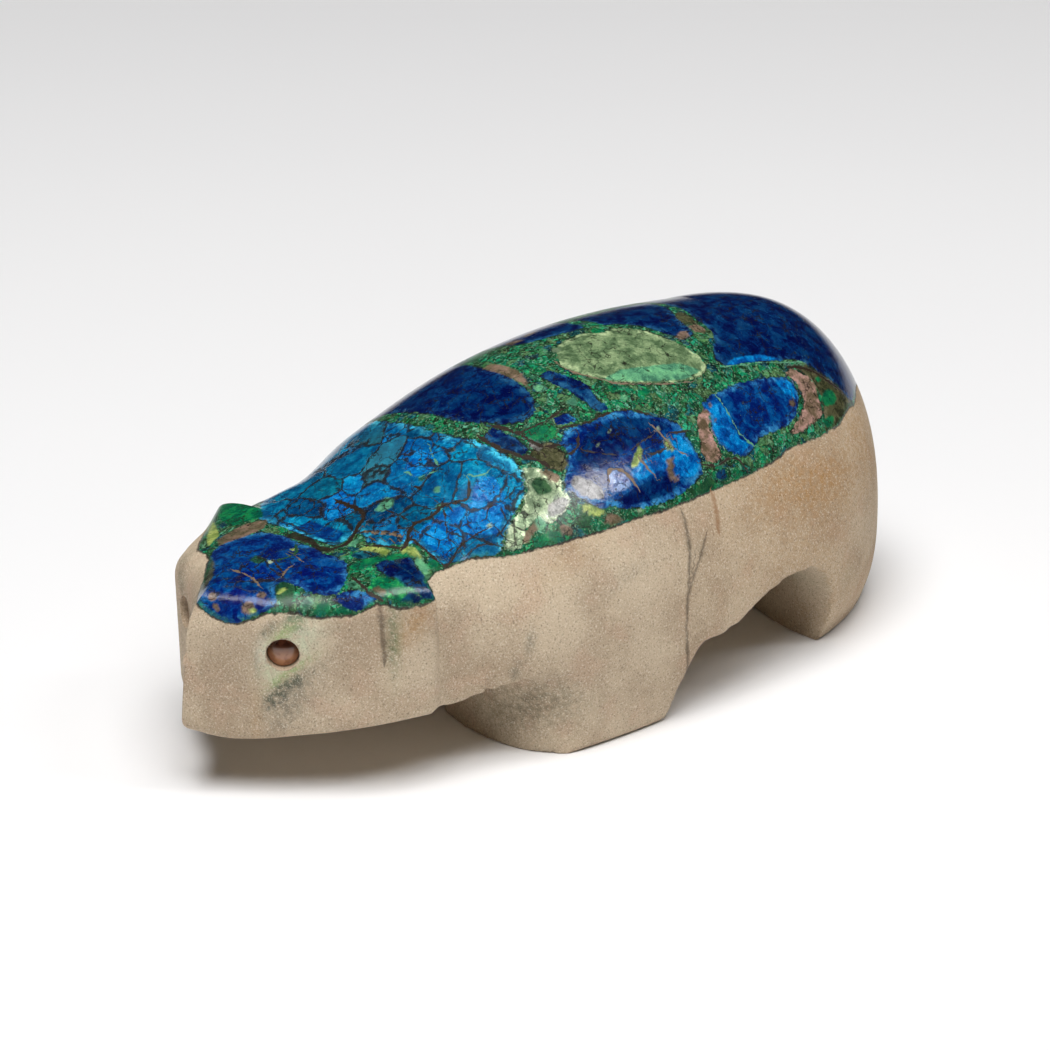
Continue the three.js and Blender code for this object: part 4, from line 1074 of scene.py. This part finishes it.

# %% [markdown]
# ## Stains of the sandstone, and painted shade on the front legs
#
# Copper from the seam has stained the sandstone green and grey round the left eye, with a pale, chalky
# ring close to the hole, and iron has warmed the rump. These have no edge, so each is a soft spot:
# a bell curve round a place on the map, wide and high as given. Spots on the legs are bell curves in
# the stone itself, because the cuts there have no place on the map. The olive ones on the front of the
# front legs are partly an olive stain and partly painted shade, where the front of each leg turns away
# from the light under the head. Where spots lie over each other, each has its share of the colour.
# Noise in the shader breaks them up.

# %% Work out the stains and the painted shade
STAINS = [
    # finish, place on the map, half lengths along and across, strength
    # round the left eye
    ("chalk", (5.9, 9.6), (2.0, 2.1), 1.0), ("lime", (5.9, 9.8), (1.7, 1.9), 0.5),
    ("chalk", (4.3, 8.0), (0.6, 1.0), 0.8), ("lime", (5.8, 7.7), (1.0, 0.5), 0.95),
    ("moss", (6.9, 7.2), (0.8, 1.1), 0.95), ("olive", (5.0, 6.6), (0.9, 0.5), 0.7),
    ("lime", (6.3, 11.6), (1.2, 0.45), 0.95), ("slate", (3.6, 9.0), (0.35, 1.6), 0.4),
    ("olive", (5.9, 12.7), (1.4, 0.6), 0.9), ("slate", (6.0, 13.2), (1.9, 1.1), 0.85),
    ("slate", (6.7, 15.4), (1.2, 1.8), 0.45),
    # rest of the head
    ("olive", (12.8, 14.0), (0.3, 2.8), 0.35), ("pale", (13.0, 14.3), (0.45, 3.0), 0.6),
    ("ochre", (14.4, 14.6), (1.2, 1.6), 0.6), ("ochre", (3.4, 14.0), (1.0, 5.0), 0.3),
    ("slate", (3.6, -1.6), (1.6, 0.8), 0.5), ("olive", (6.4, -8.0), (2.0, 1.0), 0.4),
    # body
    ("ochre", (58.0, 20.6), (9.0, 2.8), 0.75), ("ochre", (70.0, 16.0), (7.0, 5.0), 0.6),
    ("ochre", (56.0, 27.0), (12.0, 8.0), 0.35), ("ochre", (30.0, 17.5), (5.0, 1.6), 0.2),
    ("slate", (24.6, 21.1), (0.5, 1.0), 0.45), ("slate", (23.4, 22.6), (0.5, 1.0), 0.45),
    ("slate", (41.4, 22.0), (0.35, 2.0), 0.4), ("slate", (42.6, 23.4), (0.6, 0.8), 0.3),
    ("slate", (34.0, 22.0), (2.6, 0.8), 0.2), ("ochre", (60.0, -22.0), (14.0, 5.0), 0.6),
    ("slate", (36.0, -24.0), (4.0, 2.0), 0.25),
]
DEEP_STAINS_AND_SHADE = [
    # finish, place in the stone, half lengths in x, y and z, strength: on the legs, where the map ends
    # painted shade, partly an olive stain, in these two spots: the front of the left front leg, turned away
    # from the light under the head
    ("olive", (27.6, -13.4, 5.0), (3.2, 3.4, 2.6), 0.55),
    ("olive", (26.0, -10.6, 3.4), (2.0, 3.6, 2.4), 0.35),
    ("mint", (61.0, -11.5, 6.5), (2.0, 3.0, 1.3), 0.35),
    ("ochre", (66.0, -12.0, 3.0), (6.0, 4.0, 4.0), 0.4),
    # the same painted shade, partly an olive stain, on the front of the right front leg
    ("olive", (27.0, 12.0, 4.0), (2.4, 2.4, 2.0), 0.4),
    ("ochre", (66.0, 12.0, 3.0), (6.0, 4.0, 4.0), 0.4),
]
# Stains and the painted shade on the front legs are summed into one share and one colour.
unmarked = np.ones(len(hide))
stain_and_shade_sum = np.zeros((len(hide), 3))
weight_sum = np.full(len(hide), 1e-6)
inside = triangles_of(bear.data)[1] / MM + (MIDDLE, 0, 0)
for finish, middle, reach, strength in STAINS + DEEP_STAINS_AND_SHADE:
    places = hide if len(middle) == 2 else inside
    spot = strength * np.exp(-(((places - middle) / reach) ** 2).sum(1))
    unmarked *= 1 - spot
    stain_and_shade_sum += spot[:, None] * linear(FINISH[finish])
    weight_sum += spot
write_numbers(bear.data, "stain_and_shade", 1 - unmarked)
write_colours(bear.data, "stain_and_shade_colour", stain_and_shade_sum / weight_sum[:, None])
print("stains:", len(STAINS) + len(DEEP_STAINS_AND_SHADE), "- points half stained:", int((unmarked < 0.5).sum()))

# %% [markdown]
# ## Where the seam has cracked
#
# On the neck the blue pieces have cracked into plates with dark joints, like dried mud, and here and
# there on the head and the back too. The same kind of soft spot tells the shader how much.

# %% Work out the cracked places
CRACKED = [
    # place on the map, half lengths along and across, strength
    ((21.5, 2.5), (6.5, 8.0), 1.1), ((26.0, 10.5), (3.5, 3.5), 0.5), ((7.5, 1.5), (4.5, 4.0), 0.5),
    ((38.5, 15.0), (5.5, 2.5), 0.35), ((21.5, -4.0), (6.5, 4.5), 1.0), ((57.0, -13.5), (5.5, 3.5), 0.35),
]
cracked_here = np.zeros(len(hide))
for middle, reach, strength in CRACKED:
    cracked_here += strength * np.exp(-(((hide - middle) / reach) ** 2).sum(1))
write_numbers(bear.data, "cracked", cracked_here)
print("cracked places:", len(CRACKED), "- points in plates:", int((cracked_here > 0.5).sum()))

# %% [markdown]
# ## Small helpers for the shader
#
# A material is a graph of small steps. These helpers make one step each and hand back its output, so
# that a finish reads like a sum on paper. They come in three layers: nodes and links, then patterns,
# then sums and colours. All patterns are measured in millimetres on the piece itself, so they stay
# where they are on the stone. The one used most is the ramp: its first two numbers say where on a
# pattern a colour sets in and where it is complete, and so how much there is of it and how soft its
# edge is. They are given one by one, and so are the shares that follow them.

# %% Nodes and links
class Nodes:
    """Makes nodes in one material and joins them: a value given as an output is linked, any other is
    set on the socket."""

    def __init__(self, name):
        self.material = bpy.data.materials.new(name)
        self.material.use_nodes = True
        self.tree = self.material.node_tree
        self.shader = self.tree.nodes["Principled BSDF"]
        inner = self.tree.nodes.new("ShaderNodeTexCoord").outputs["Object"]
        self.mm = self.node("VectorMath", {0: inner, 3: 1 / MM}, operation="SCALE").outputs[0]

    def node(self, kind, inputs, **settings):
        """One node, its settings first and then its inputs."""
        made = self.tree.nodes.new("ShaderNode" + kind)
        for key, value in settings.items():
            setattr(made, key, value)
        for key, value in inputs.items():
            self.put(made.inputs[key], value)
        return made

    def put(self, socket, value):
        """Links an output to the socket or sets the value on it."""
        if isinstance(value, bpy.types.NodeSocket):
            self.tree.links.new(value, socket)
        elif hasattr(socket.default_value, "__len__") and len(socket.default_value) == 4:
            socket.default_value = (*value, 1)
        else:
            socket.default_value = value

    def surface(self, **values):
        """Inputs of the surface itself, with _ for the blank in a name."""
        for name, value in values.items():
            self.put(self.shader.inputs[name.replace("_", " ")], value)

    def read(self, name, output="Fac"):
        """A value that was written on the points."""
        return self.node("Attribute", {}, attribute_name=name).outputs[output]


print("nodes can be made")

# %% Patterns
class Patterns(Nodes):
    """Random patterns in millimetres."""

    def noise(self, per_mm, detail=3.0, rough=0.55, at=None, bend=0.0):
        """Soft random value from 0 to 1, its largest spots 1 / per_mm millimetres across."""
        inputs = {"Vector": at or self.mm, "Scale": per_mm, "Detail": detail, "Roughness": rough}
        return self.node("TexNoise", {**inputs, "Distortion": bend}).outputs["Fac"]

    def wavy(self, amount, per_mm):
        """Places moved about a little, so that straight borders of cells come out natural."""
        inputs = {"Vector": self.mm, "Scale": per_mm, "Detail": 3.0}
        shift = self.node("TexNoise", inputs).outputs["Color"]
        centred = self.node("VectorMath", {0: shift, 1: (0.5, 0.5, 0.5)}, operation="SUBTRACT").outputs[0]
        scaled = self.node("VectorMath", {0: centred, 3: amount}, operation="SCALE").outputs[0]
        return self.node("VectorMath", {0: self.mm, 1: scaled}, operation="ADD").outputs[0]

    def borders(self, per_mm, at):
        """Distance to the nearest border between random cells."""
        inputs = {"Vector": at, "Scale": per_mm}
        return self.node("TexVoronoi", inputs, feature="DISTANCE_TO_EDGE").outputs["Distance"]

    def cells(self, per_mm, at):
        """Three random numbers for each random cell."""
        colour = self.node("TexVoronoi", {"Vector": at, "Scale": per_mm}).outputs["Color"]
        return self.node("SeparateColor", {0: colour}).outputs


print("patterns can be made")

# %% Sums and colours
class Graph(Patterns):
    """Sums of numbers and mixtures of colours."""

    def step(self, operation, a, b=0.0, clamp=False):
        """One step of arithmetic."""
        return self.node("Math", {0: a, 1: b}, operation=operation, use_clamp=clamp).outputs[0]

    def plus(self, a, b):
        """a + b."""
        return self.step("ADD", a, b)

    def minus(self, a, b):
        """a - b."""
        return self.step("SUBTRACT", a, b)

    def times(self, a, b, clamp=False):
        """a * b, with clamp held between 0 and 1."""
        return self.step("MULTIPLY", a, b, clamp)

    def ramp(self, value, low, high, start=0.0, end=1.0):
        """From start to end, smoothly, while the value goes from low to high."""
        inputs = {"Value": value, "From Min": low, "From Max": high, "To Min": start, "To Max": end}
        return self.node("MapRange", inputs, interpolation_type="SMOOTHSTEP").outputs[0]

    def sway(self, value, amount, middle=0.5):
        """A random value made into a push to either hand: its distance from the middle, scaled."""
        return self.times(self.minus(value, middle), amount)

    def between(self, share, a, b):
        """A number that goes from a to b with the share."""
        return self.node("Mix", {0: share, 2: a, 3: b}, data_type="FLOAT").outputs[0]

    def blend(self, share, under, over):
        """The colour under, with a share of the colour over laid on it."""
        return self.node("Mix", {0: share, 6: under, 7: over}, data_type="RGBA").outputs[2]

    def shifted(self, colour, hue, strength, light, share=1.0):
        """The colour with its hue turned (0.5 leaves it) and its strength and light multiplied."""
        inputs = {"Hue": hue, "Saturation": strength, "Value": light, "Fac": share, "Color": colour}
        return self.node("HueSaturation", inputs).outputs[0]


print("sums and colours can be made")

# %% [markdown]
# ## Tan sandstone
#
# Sandstone is quartz grains in a pale clay. From a hand's length away one sees tan cloudiness, and
# close up a salt of light and dark grains with a few larger pale chips. Noises give that: broad ones
# for the clouds and fine ones for grains and chips. The stains come in between, under the grains,
# broken up by a noise of their own, and with them the painted shade on the front of the front legs.
# It is matte, with a grain that can be felt.

# %% Colour of the sandstone
stone = Graph("banded_stone")
SAND_PALE = linear((206, 187, 160))
SAND_DARK = linear((178, 157, 131))
SAND_PINK = linear((200, 170, 144))
GRAIN_LIGHT = linear((238, 228, 208))
GRAIN_DARK = linear((96, 82, 64))
CLOUDS = 0.16
GRAINS = 6.5

clouds = stone.noise(CLOUDS, detail=4)
sand = stone.blend(stone.ramp(clouds, 0.36, 0.66), SAND_PALE, SAND_DARK)
sand = stone.blend(stone.ramp(stone.noise(0.33, detail=2), 0.52, 0.7, 0, 0.5), sand, SAND_PINK)
grain = stone.noise(GRAINS, detail=2, rough=0.65)
fine_grain = stone.noise(2.1, detail=4, rough=0.65)
# the share of stain colour, which carries the painted shade on the front legs too
stain_and_shade_share = stone.times(stone.read("stain_and_shade"), stone.ramp(fine_grain, 0.34, 0.64, 0.45, 1.35), clamp=True)
sand = stone.blend(stain_and_shade_share, sand, stone.read("stain_and_shade_colour", "Color"))
sand = stone.blend(stone.ramp(grain, 0.56, 0.7, 0, 0.6), sand, GRAIN_LIGHT)
sand = stone.blend(stone.ramp(grain, 0.44, 0.3, 0, 0.6), sand, GRAIN_DARK)
chips = stone.noise(4.0, detail=2, rough=0.5, bend=2.2)
sand = stone.blend(stone.ramp(chips, 0.62, 0.7, 0, 0.5), sand, GRAIN_LIGHT)
print("sandstone: clouds of", round(1 / CLOUDS), "mm, grains of", round(1 / GRAINS, 2), "mm")

# %% [markdown]
# ## Malachite ground
#
# Between the big pieces lies a fine rubble of malachite: small cells in several greens, some nearly
# white, some nearly black, with hair cracks. Random cells of two sizes and noise give the rubble.

# %% Colour of the ground
RUBBLE = 1.15
CRUMBS = 3.2
LIGHT_GREEN = linear((34, 146, 100))
GREY_GREEN = linear((86, 116, 72))
CRUMB_CRACK = linear((14, 44, 32))
SHADE_GREEN = linear((10, 40, 30))
SPECK_GREEN = linear((130, 168, 132))

drift = stone.wavy(1.6, 0.9)
rubble = stone.cells(RUBBLE, drift)
crumbs = stone.cells(CRUMBS, drift)
ground = stone.blend(stone.ramp(rubble[0], 0.2, 0.9), linear(FINISH["moss"]), linear(FINISH["malachite"]))
ground = stone.blend(stone.ramp(crumbs[0], 0.62, 0.95, 0, 0.8), ground, LIGHT_GREEN)
ground = stone.blend(stone.ramp(crumbs[1], 0.86, 0.96, 0, 0.7), ground, linear(FINISH["mint"]))
ground = stone.blend(stone.ramp(rubble[1], 0.78, 0.84, 0, 0.6), ground, GREY_GREEN)
ground = stone.blend(stone.ramp(rubble[2], 0.86, 0.9, 0, 0.8), ground, linear(FINISH["teal"]))
rubble_crack = stone.ramp(stone.borders(RUBBLE, drift), 0.05, 0.015, 0, 0.7)
ground = stone.blend(rubble_crack, ground, linear(FINISH["umber"]))
crumb_crack = stone.ramp(stone.borders(CRUMBS, drift), 0.09, 0.03, 0, 0.55)
ground = stone.blend(crumb_crack, ground, CRUMB_CRACK)
ground = stone.blend(stone.ramp(stone.noise(3.5, 4, 0.7), 0.5, 0.28, 0, 0.65), ground, SHADE_GREEN)
ground = stone.shifted(ground, stone.ramp(crumbs[1], 0, 1, 0.48, 0.515), 1.0,
                       stone.ramp(crumbs[2], 0, 1, 0.45, 1.7))
ground = stone.blend(stone.ramp(stone.noise(5.0, 3, 0.65), 0.57, 0.64, 0, 0.7), ground, SPECK_GREEN)
print("ground: rubble of", round(1 / RUBBLE, 1), "and", round(1 / CRUMBS, 1), "mm")

# %% [markdown]
# ## Azurite and the other pieces
#
# The finish of each piece was written on the points. Real azurite is never one blue: it is clouded,
# brushed through with brighter fibres and pitted dark. One noise makes the clouds, and a finer one
# makes the strokes where it is high and the pits where it is low.

# %% Clouds, strokes and pits of a piece
mottle = stone.noise(0.8, detail=5, rough=0.66, at=drift)
fibres = stone.noise(3.2, detail=5, rough=0.75, bend=1.2)
cracked = stone.read("cracked")
PIT = (0.002, 0.006, 0.01)


def broken(colour):
    """The colour as it looks in a natural piece: darker and lighter clouds, brighter brush strokes and
    dark pits. Where the stone has cracked into plates the clouds are calmer."""
    calm = stone.ramp(cracked, 0.2, 0.9, 1.0, 0.75)
    hue = stone.ramp(mottle, 0.36, 0.64, 0.514, 0.475)
    strength = stone.ramp(mottle, 0.3, 0.7, 1.1, 0.98)
    clouded = stone.shifted(colour, hue, strength, stone.ramp(mottle, 0.37, 0.63, 0.5, 1.3), calm)
    brushed = stone.shifted(clouded, 0.485, 0.96, 1.8)
    strokes = stone.blend(stone.ramp(fibres, 0.52, 0.66, 0, 0.6), clouded, brushed)
    pits = stone.ramp(fibres, 0.46, 0.36, 0, 0.7)
    return stone.blend(pits, strokes, stone.blend(0.72, strokes, PIT))


blue = broken(stone.read("piece_finish", "Color"))
print("pieces clouded:", len(stone.tree.nodes), "nodes so far")

# %% [markdown]
# ## Plates
#
# A cracked piece is a mosaic of angular plates, each of a slightly different blue. Random cells with
# slightly moved borders look like that: one random number of the cell turns its hue, one its light,
# and one makes a few plates paler. Dark joints run between them, wide round the plates and fine
# through some of them, and frayed by a noise.

# %% Tones and joints of the plates
PLATES = 0.3
PLATE_PALE = linear((62, 122, 116))

plates_at = stone.wavy(2.4, 0.26)
plate = stone.cells(PLATES, plates_at)
toned = stone.shifted(blue, stone.ramp(plate[0], 0, 1, 0.488, 0.522), 1.0,
                      stone.ramp(plate[1], 0, 1, 0.5, 1.3), cracked)
paler = stone.times(stone.ramp(plate[2], 0.86, 0.9, 0, 0.3), cracked, clamp=True)
blue = stone.blend(paler, toned, PLATE_PALE)
frayed = stone.sway(stone.noise(1.6, 4, 0.65), 0.22)
wide_joint = stone.ramp(stone.plus(stone.borders(PLATES, plates_at), frayed), 0.05, 0.01)
fine_joint = stone.ramp(stone.plus(stone.borders(2 * PLATES, plates_at), frayed), 0.04, 0.005)
fine_joint = stone.times(fine_joint, stone.ramp(plate[0], 0.6, 0.7))
in_plates = stone.ramp(stone.plus(cracked, stone.times(mottle, 0.7)), 0.62, 0.78)
joints = stone.times(stone.step("MAXIMUM", wide_joint, fine_joint), in_plates)
print("plates of", round(1 / PLATES, 1), "mm")

# %% [markdown]
# ## Rims, and the bits on top
#
# A piece pales to a brighter rim and has a thin dark outline where it meets the ground. Now ground,
# pieces and bits are laid over each other, each cut out by its own distance. The cut gets a little
# noise, because broken edges aren't as straight as a drawing.

# %% Lay the pieces and bits on the ground
ragged = stone.sway(stone.noise(1.9, 5, 0.68), 0.9)
piece_edge = stone.plus(stone.read("piece"), ragged)
bit_edge = stone.plus(stone.read("bit"), stone.times(ragged, 0.55))

rim = stone.times(stone.ramp(piece_edge, 0.85, 0.12), stone.ramp(mottle, 0.4, 0.6, 0.1, 0.85))
blue = stone.blend(rim, blue, stone.shifted(blue, 0.475, 0.93, 1.95))
seam_colour = stone.blend(stone.ramp(piece_edge, -0.04, 0.04), ground, blue)
outline = stone.ramp(stone.step("ABSOLUTE", piece_edge), 0.16, 0.03)
outline = stone.times(outline, stone.ramp(stone.noise(0.9, 3), 0.44, 0.6))
seam_colour = stone.blend(stone.times(outline, 0.85), seam_colour, (0.012, 0.016, 0.012))
bit = broken(stone.read("bit_finish", "Color"))
seam_colour = stone.blend(stone.ramp(bit_edge, -0.12, 0.12, 0, 0.92), seam_colour, bit)
print("pieces and bits laid:", len(stone.tree.nodes), "nodes so far")

# %% [markdown]
# ## Cracks and clots over everything
#
# The joints of the plates, hair cracks with the width of a hair, and small pale clots cross pieces
# and bits alike, so they are laid last.

# %% Joints, hair cracks and clots
JOINT_BLACK = (0.010, 0.009, 0.008)
JOINT_BROWN = linear((64, 52, 40))
HAIR_BLACK = (0.014, 0.012, 0.01)
CLOT = linear((128, 168, 120))

joints = stone.times(joints, stone.ramp(piece_edge, -0.02, 0.1))
joint_colour = stone.blend(stone.ramp(fibres, 0.5, 0.64), JOINT_BLACK, JOINT_BROWN)
seam_colour = stone.blend(stone.times(joints, 0.88), seam_colour, joint_colour)
hair = stone.ramp(stone.borders(0.5, stone.wavy(3.0, 0.7)), 0.03, 0.008)
hair = stone.times(hair, stone.ramp(stone.noise(0.34, 2), 0.44, 0.52))
seam_colour = stone.blend(stone.times(hair, 0.85), seam_colour, HAIR_BLACK)
flecks = stone.noise(7.0, detail=2, rough=0.6)
clots = stone.times(stone.ramp(flecks, 0.7, 0.76), stone.ramp(stone.noise(0.6, 3), 0.46, 0.62))
seam_colour = stone.blend(stone.times(clots, 0.8), seam_colour, CLOT)
print("cracks laid:", len(stone.tree.nodes), "nodes so far")

# %% [markdown]
# ## Drawing the veins
#
# The signed distance of the veins is pushed about by noise, made unsigned, and less the vein's half
# width. Where the result is under zero there is vein. A softer ramp of the same number is the stain
# that a vein leaves in the sandstone on both sides.

# %% Width of the veins
vein_parts = stone.node("SeparateXYZ", {0: stone.read("vein", "Vector")}).outputs
off_vein = stone.step("ABSOLUTE", stone.plus(vein_parts[0], stone.sway(stone.noise(2.2, 5, 0.7), 0.55)))
off_vein = stone.minus(off_vein, vein_parts[2])
off_vein = stone.plus(off_vein, stone.sway(stone.noise(1.3, 4), 0.45, 0.45))
on_vein = stone.times(stone.ramp(off_vein, 0.04, -0.03), stone.ramp(vein_parts[1], 0.8, 0.55))
soft_vein = stone.times(stone.ramp(off_vein, 0.3, -0.05, 0, 0.6), stone.ramp(vein_parts[1], 0.8, 0.4))
print("veins drawn:", len(stone.tree.nodes), "nodes so far")

# %% [markdown]
# ## The two stones together
#
# The seam's own edge is ragged too, and dark: there the two stones part a little, and dirt and iron
# sit in the gap. Above it runs a thin band of green, where the malachite lies on the sandstone. In
# the sandstone a vein is a grey shadow with a fainter core.

# %% Join sandstone and seam
seam_edge = stone.plus(stone.read("seam"), stone.times(ragged, 0.6))
polished = stone.ramp(seam_edge, -0.04, 0.04)
rim_green = stone.times(stone.ramp(seam_edge, 0.6, 0.3), stone.ramp(mottle, 0.42, 0.55, 0, 0.75))
seam_colour = stone.blend(rim_green, seam_colour, stone.blend(0.5, ground, linear(FINISH["moss"])))
gap = stone.ramp(stone.step("ABSOLUTE", seam_edge), 0.13, 0.03)
gap = stone.times(gap, stone.ramp(stone.noise(0.7, 3), 0.36, 0.56, 0.25, 0.9))
colour = stone.blend(polished, sand, seam_colour)
colour = stone.blend(gap, colour, linear(FINISH["umber"]))
in_sand = stone.step("MAXIMUM", stone.times(on_vein, 0.6), soft_vein)
on_vein = stone.between(polished, in_sand, on_vein)
colour = stone.blend(on_vein, colour, stone.read("vein_finish", "Color"))
stone.surface(Base_Color=colour)
print("stones joined:", len(stone.tree.nodes), "nodes so far")

# %% [markdown]
# ## Polish and touch
#
# The pieces take the highest polish, the softer ground between them less, and the sandstone none. The
# grain can be felt, joints and veins lie a little deeper, and the polished clouds stand a little
# proud, which a bump of a few hundredths of a millimetre shows in the highlights.

# %% Roughness and bump of the stone
SANDSTONE_ROUGH = 0.82
GROUND_ROUGH = 0.24

piece_rough = stone.ramp(fibres, 0.3, 0.75, 0.09, 0.16)
gloss = stone.between(stone.ramp(piece_edge, -0.1, 0.1), GROUND_ROUGH, piece_rough)
rough = stone.between(polished, SANDSTONE_ROUGH, gloss)
worn = stone.times(stone.step("MAXIMUM", on_vein, joints), 0.25)
stone.surface(Roughness=stone.step("ADD", rough, worn, clamp=True), IOR=1.56)

feel = stone.plus(stone.sway(grain, 0.12), stone.times(fine_grain, 0.06))
feel = stone.times(feel, stone.minus(1.0, polished))
feel = stone.minus(feel, stone.times(on_vein, 0.02))
feel = stone.minus(feel, stone.times(gap, 0.05))
feel = stone.minus(feel, stone.times(stone.times(joints, polished), 0.05))
feel = stone.plus(feel, stone.times(stone.times(mottle, polished), 0.025))
bump = stone.node("Bump", {"Strength": 1.0, "Distance": MM, "Height": feel})
stone.surface(Normal=bump.outputs[0])
bear.data.materials.clear()
bear.data.materials.append(stone.material)
print("banded stone:", len(stone.tree.nodes), "nodes")

# %% [markdown]
# ## The brown eye stones
#
# The discs are a clear brown stone, amber below. Towards the top they are painted darker, as painted
# shade where the rim of the hole shades them. A glossy coat over a mottled brown stands for their depth.

# %% Eye stone
AMBER = linear((176, 122, 86))
# painted shade: the dark brown that the top of each disc turns to
SHADE_BROWN = linear((60, 30, 20))
RED_BROWN = linear((112, 62, 40))
AMBER_UP_TO, SHADE_FROM = 11.6, 13.2

eye_stone = Graph("eye_stone")
height = eye_stone.node("SeparateXYZ", {0: eye_stone.mm}).outputs[2]
# painted shade: the disc darkens towards its top, where the rim of the hole shades it
shaded_amber = eye_stone.blend(eye_stone.ramp(height, AMBER_UP_TO, SHADE_FROM), AMBER, SHADE_BROWN)
shaded_amber = eye_stone.blend(eye_stone.ramp(eye_stone.noise(1.6, 4), 0.45, 0.7, 0, 0.5), shaded_amber, RED_BROWN)
eye_rough = eye_stone.ramp(eye_stone.noise(2.0, 3), 0.3, 0.7, 0.1, 0.2)
eye_stone.surface(Base_Color=shaded_amber, Roughness=eye_rough, IOR=1.54, Coat_Weight=0.6, Coat_Roughness=0.05)
for disc_piece in eyes.values():
    disc_piece.data.materials.clear()
    disc_piece.data.materials.append(eye_stone.material)
print("eye stone:", len(eye_stone.tree.nodes), "nodes")

# %% [markdown]
# ## Floor
#
# The picture is a plain studio shot on a pale sheet that fades to light grey behind the bear. A big
# flat square of nearly white, quite matte paper does that.

# %% Floor
FLOOR_HALF = 900
PAPER = linear((243, 243, 244)), linear((247, 247, 247))

square = np.array([[-1, -1, 0], [1, -1, 0], [1, 1, 0], [-1, 1, 0]], float) * FLOOR_HALF
floor = new_mesh("floor", square, [(0, 1, 2, 3)])
paper = Graph("paper")
paper.surface(Base_Color=paper.blend(paper.noise(0.01, 2), *PAPER), Roughness=0.9)
floor.data.materials.append(paper.material)
print("floor:", 2 * FLOOR_HALF / 1000, "m square")

# %% [markdown]
# ## Light
#
# Shadow and highlight ask for different lamps, so they get different ones. Two large soft boxes on the
# camera's side, one high and one nearly overhead, light the sandstone and cast the soft shadow round
# the feet. They are hidden from reflections, because a big lamp would lie on the polish like fog. Two
# small strips facing straight down give the highlights: one over the head draws the line along the
# brow, and one to the right of the camera draws those on the shoulder and the ear. Where a strip must
# hang was found by following the line of sight from a highlight in the picture, over the polished
# stone and up to the height of the lamps.

# %% Light
LAMP_SIDE = -43
LAMP_TINT = (1.0, 0.99, 0.985)
BEAR_MIDDLE = Vector((0, 0, 0.015))


def direction(azimuth, elevation):
    """Level angle from the bear's left side, and angle above the floor, as a direction of length 1:
    (sin a cos e, -cos a cos e, sin e)."""
    a, e = math.radians(azimuth), math.radians(elevation)
    return Vector((math.sin(a) * math.cos(e), -math.cos(a) * math.cos(e), math.sin(e)))


def flat_lamp(name, watts, size):
    """A rectangular lamp at the origin that faces straight down."""
    lamp = bpy.data.lights.new(name, "AREA")
    lamp.shape, lamp.size, lamp.size_y, lamp.energy = "RECTANGLE", size[0], size[1], watts
    box = bpy.data.objects.new(name, lamp)
    bpy.context.scene.collection.objects.link(box)
    return box


def soft_box(name, watts, side, elevation, distance):
    """A square lamp turned to the bear and hidden from reflections."""
    box = flat_lamp(name, watts, (side, side))
    box.data.color = LAMP_TINT
    toward = direction(LAMP_SIDE, elevation)
    box.location = toward * distance + BEAR_MIDDLE
    box.rotation_euler = toward.to_track_quat("Z", "Y").to_euler()
    box.visible_glossy = False


def strip(name, watts, size, place, turn):
    """A lamp that shows as a bright strip on the polish."""
    box = flat_lamp(name, watts, size)
    box.location = place
    box.rotation_euler.z = math.radians(turn)


soft_box("front", 2.05, 0.42, 60, 1.0)
soft_box("overhead_front", 3.5, 0.5, 75, 0.6)
strip("strip_over_head", 0.42, (0.2, 0.14), (-0.16, 0.0, 0.5), 0)
strip("strip_right", 0.62, (0.26, 0.07), (0.25, -0.385, 0.5), -38)

# %% [markdown]
# ## Surroundings
#
# A very weak, slightly cool glow from all round stands for the walls of the room, so that no shadow
# is quite black. The Standard view shows colours as they are, without the film curve that would grey
# a white floor.

# %% Surroundings
world = bpy.data.worlds.new("studio")
world.use_nodes = True
glow = world.node_tree.nodes["Background"].inputs
glow["Color"].default_value = (0.96, 0.97, 1.0, 1)
glow["Strength"].default_value = 0.015
bpy.context.scene.world = world
bpy.context.scene.view_settings.view_transform = "Standard"
print("glow of the surroundings:", round(glow["Strength"].default_value, 3))

# %% [markdown]
# ## Camera
#
# The camera stands low in front of the bear's left cheek with a long lens, which keeps the far legs
# nearly as large as the near ones. Its angles, distance and lens are those that lay the bear's outline
# over the one in the picture. The picture is a square, and the bear sits a little off its middle, so
# the lens is shifted by that many pixels.

# %% Camera
PHOTO = 1050
FOCAL_PIXELS = 5000
MIDDLE_OFFSET = (-5.29, -20.82)
AZIMUTH, ELEVATION, AWAY = -43.08, 21.43, 0.42209
TARGET = Vector((-0.00082, 0, 0.015))

lens = bpy.data.cameras.new("camera")
lens.sensor_width = 36
lens.lens = FOCAL_PIXELS / PHOTO * lens.sensor_width
lens.shift_x = -MIDDLE_OFFSET[0] / PHOTO
lens.shift_y = MIDDLE_OFFSET[1] / PHOTO
lens.clip_start, lens.clip_end = 0.01, 10
back = direction(AZIMUTH, ELEVATION)
right = Vector((math.cos(math.radians(AZIMUTH)), math.sin(math.radians(AZIMUTH)), 0))
camera = bpy.data.objects.new("camera", lens)
camera.matrix_world = Matrix((right, back.cross(right), back)).transposed().to_4x4()
camera.location = TARGET + back * AWAY
bpy.context.scene.collection.objects.link(camera)
bpy.context.scene.camera = camera
print("lens:", round(lens.lens), "mm")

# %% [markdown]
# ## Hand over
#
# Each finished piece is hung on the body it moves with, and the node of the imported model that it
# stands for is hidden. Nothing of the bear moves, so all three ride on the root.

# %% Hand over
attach(bear, "root")
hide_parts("bear")
for name, disc_piece in eyes.items():
    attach(disc_piece, "root")
    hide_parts(name)
print("pieces handed over:", 1 + len(eyes))
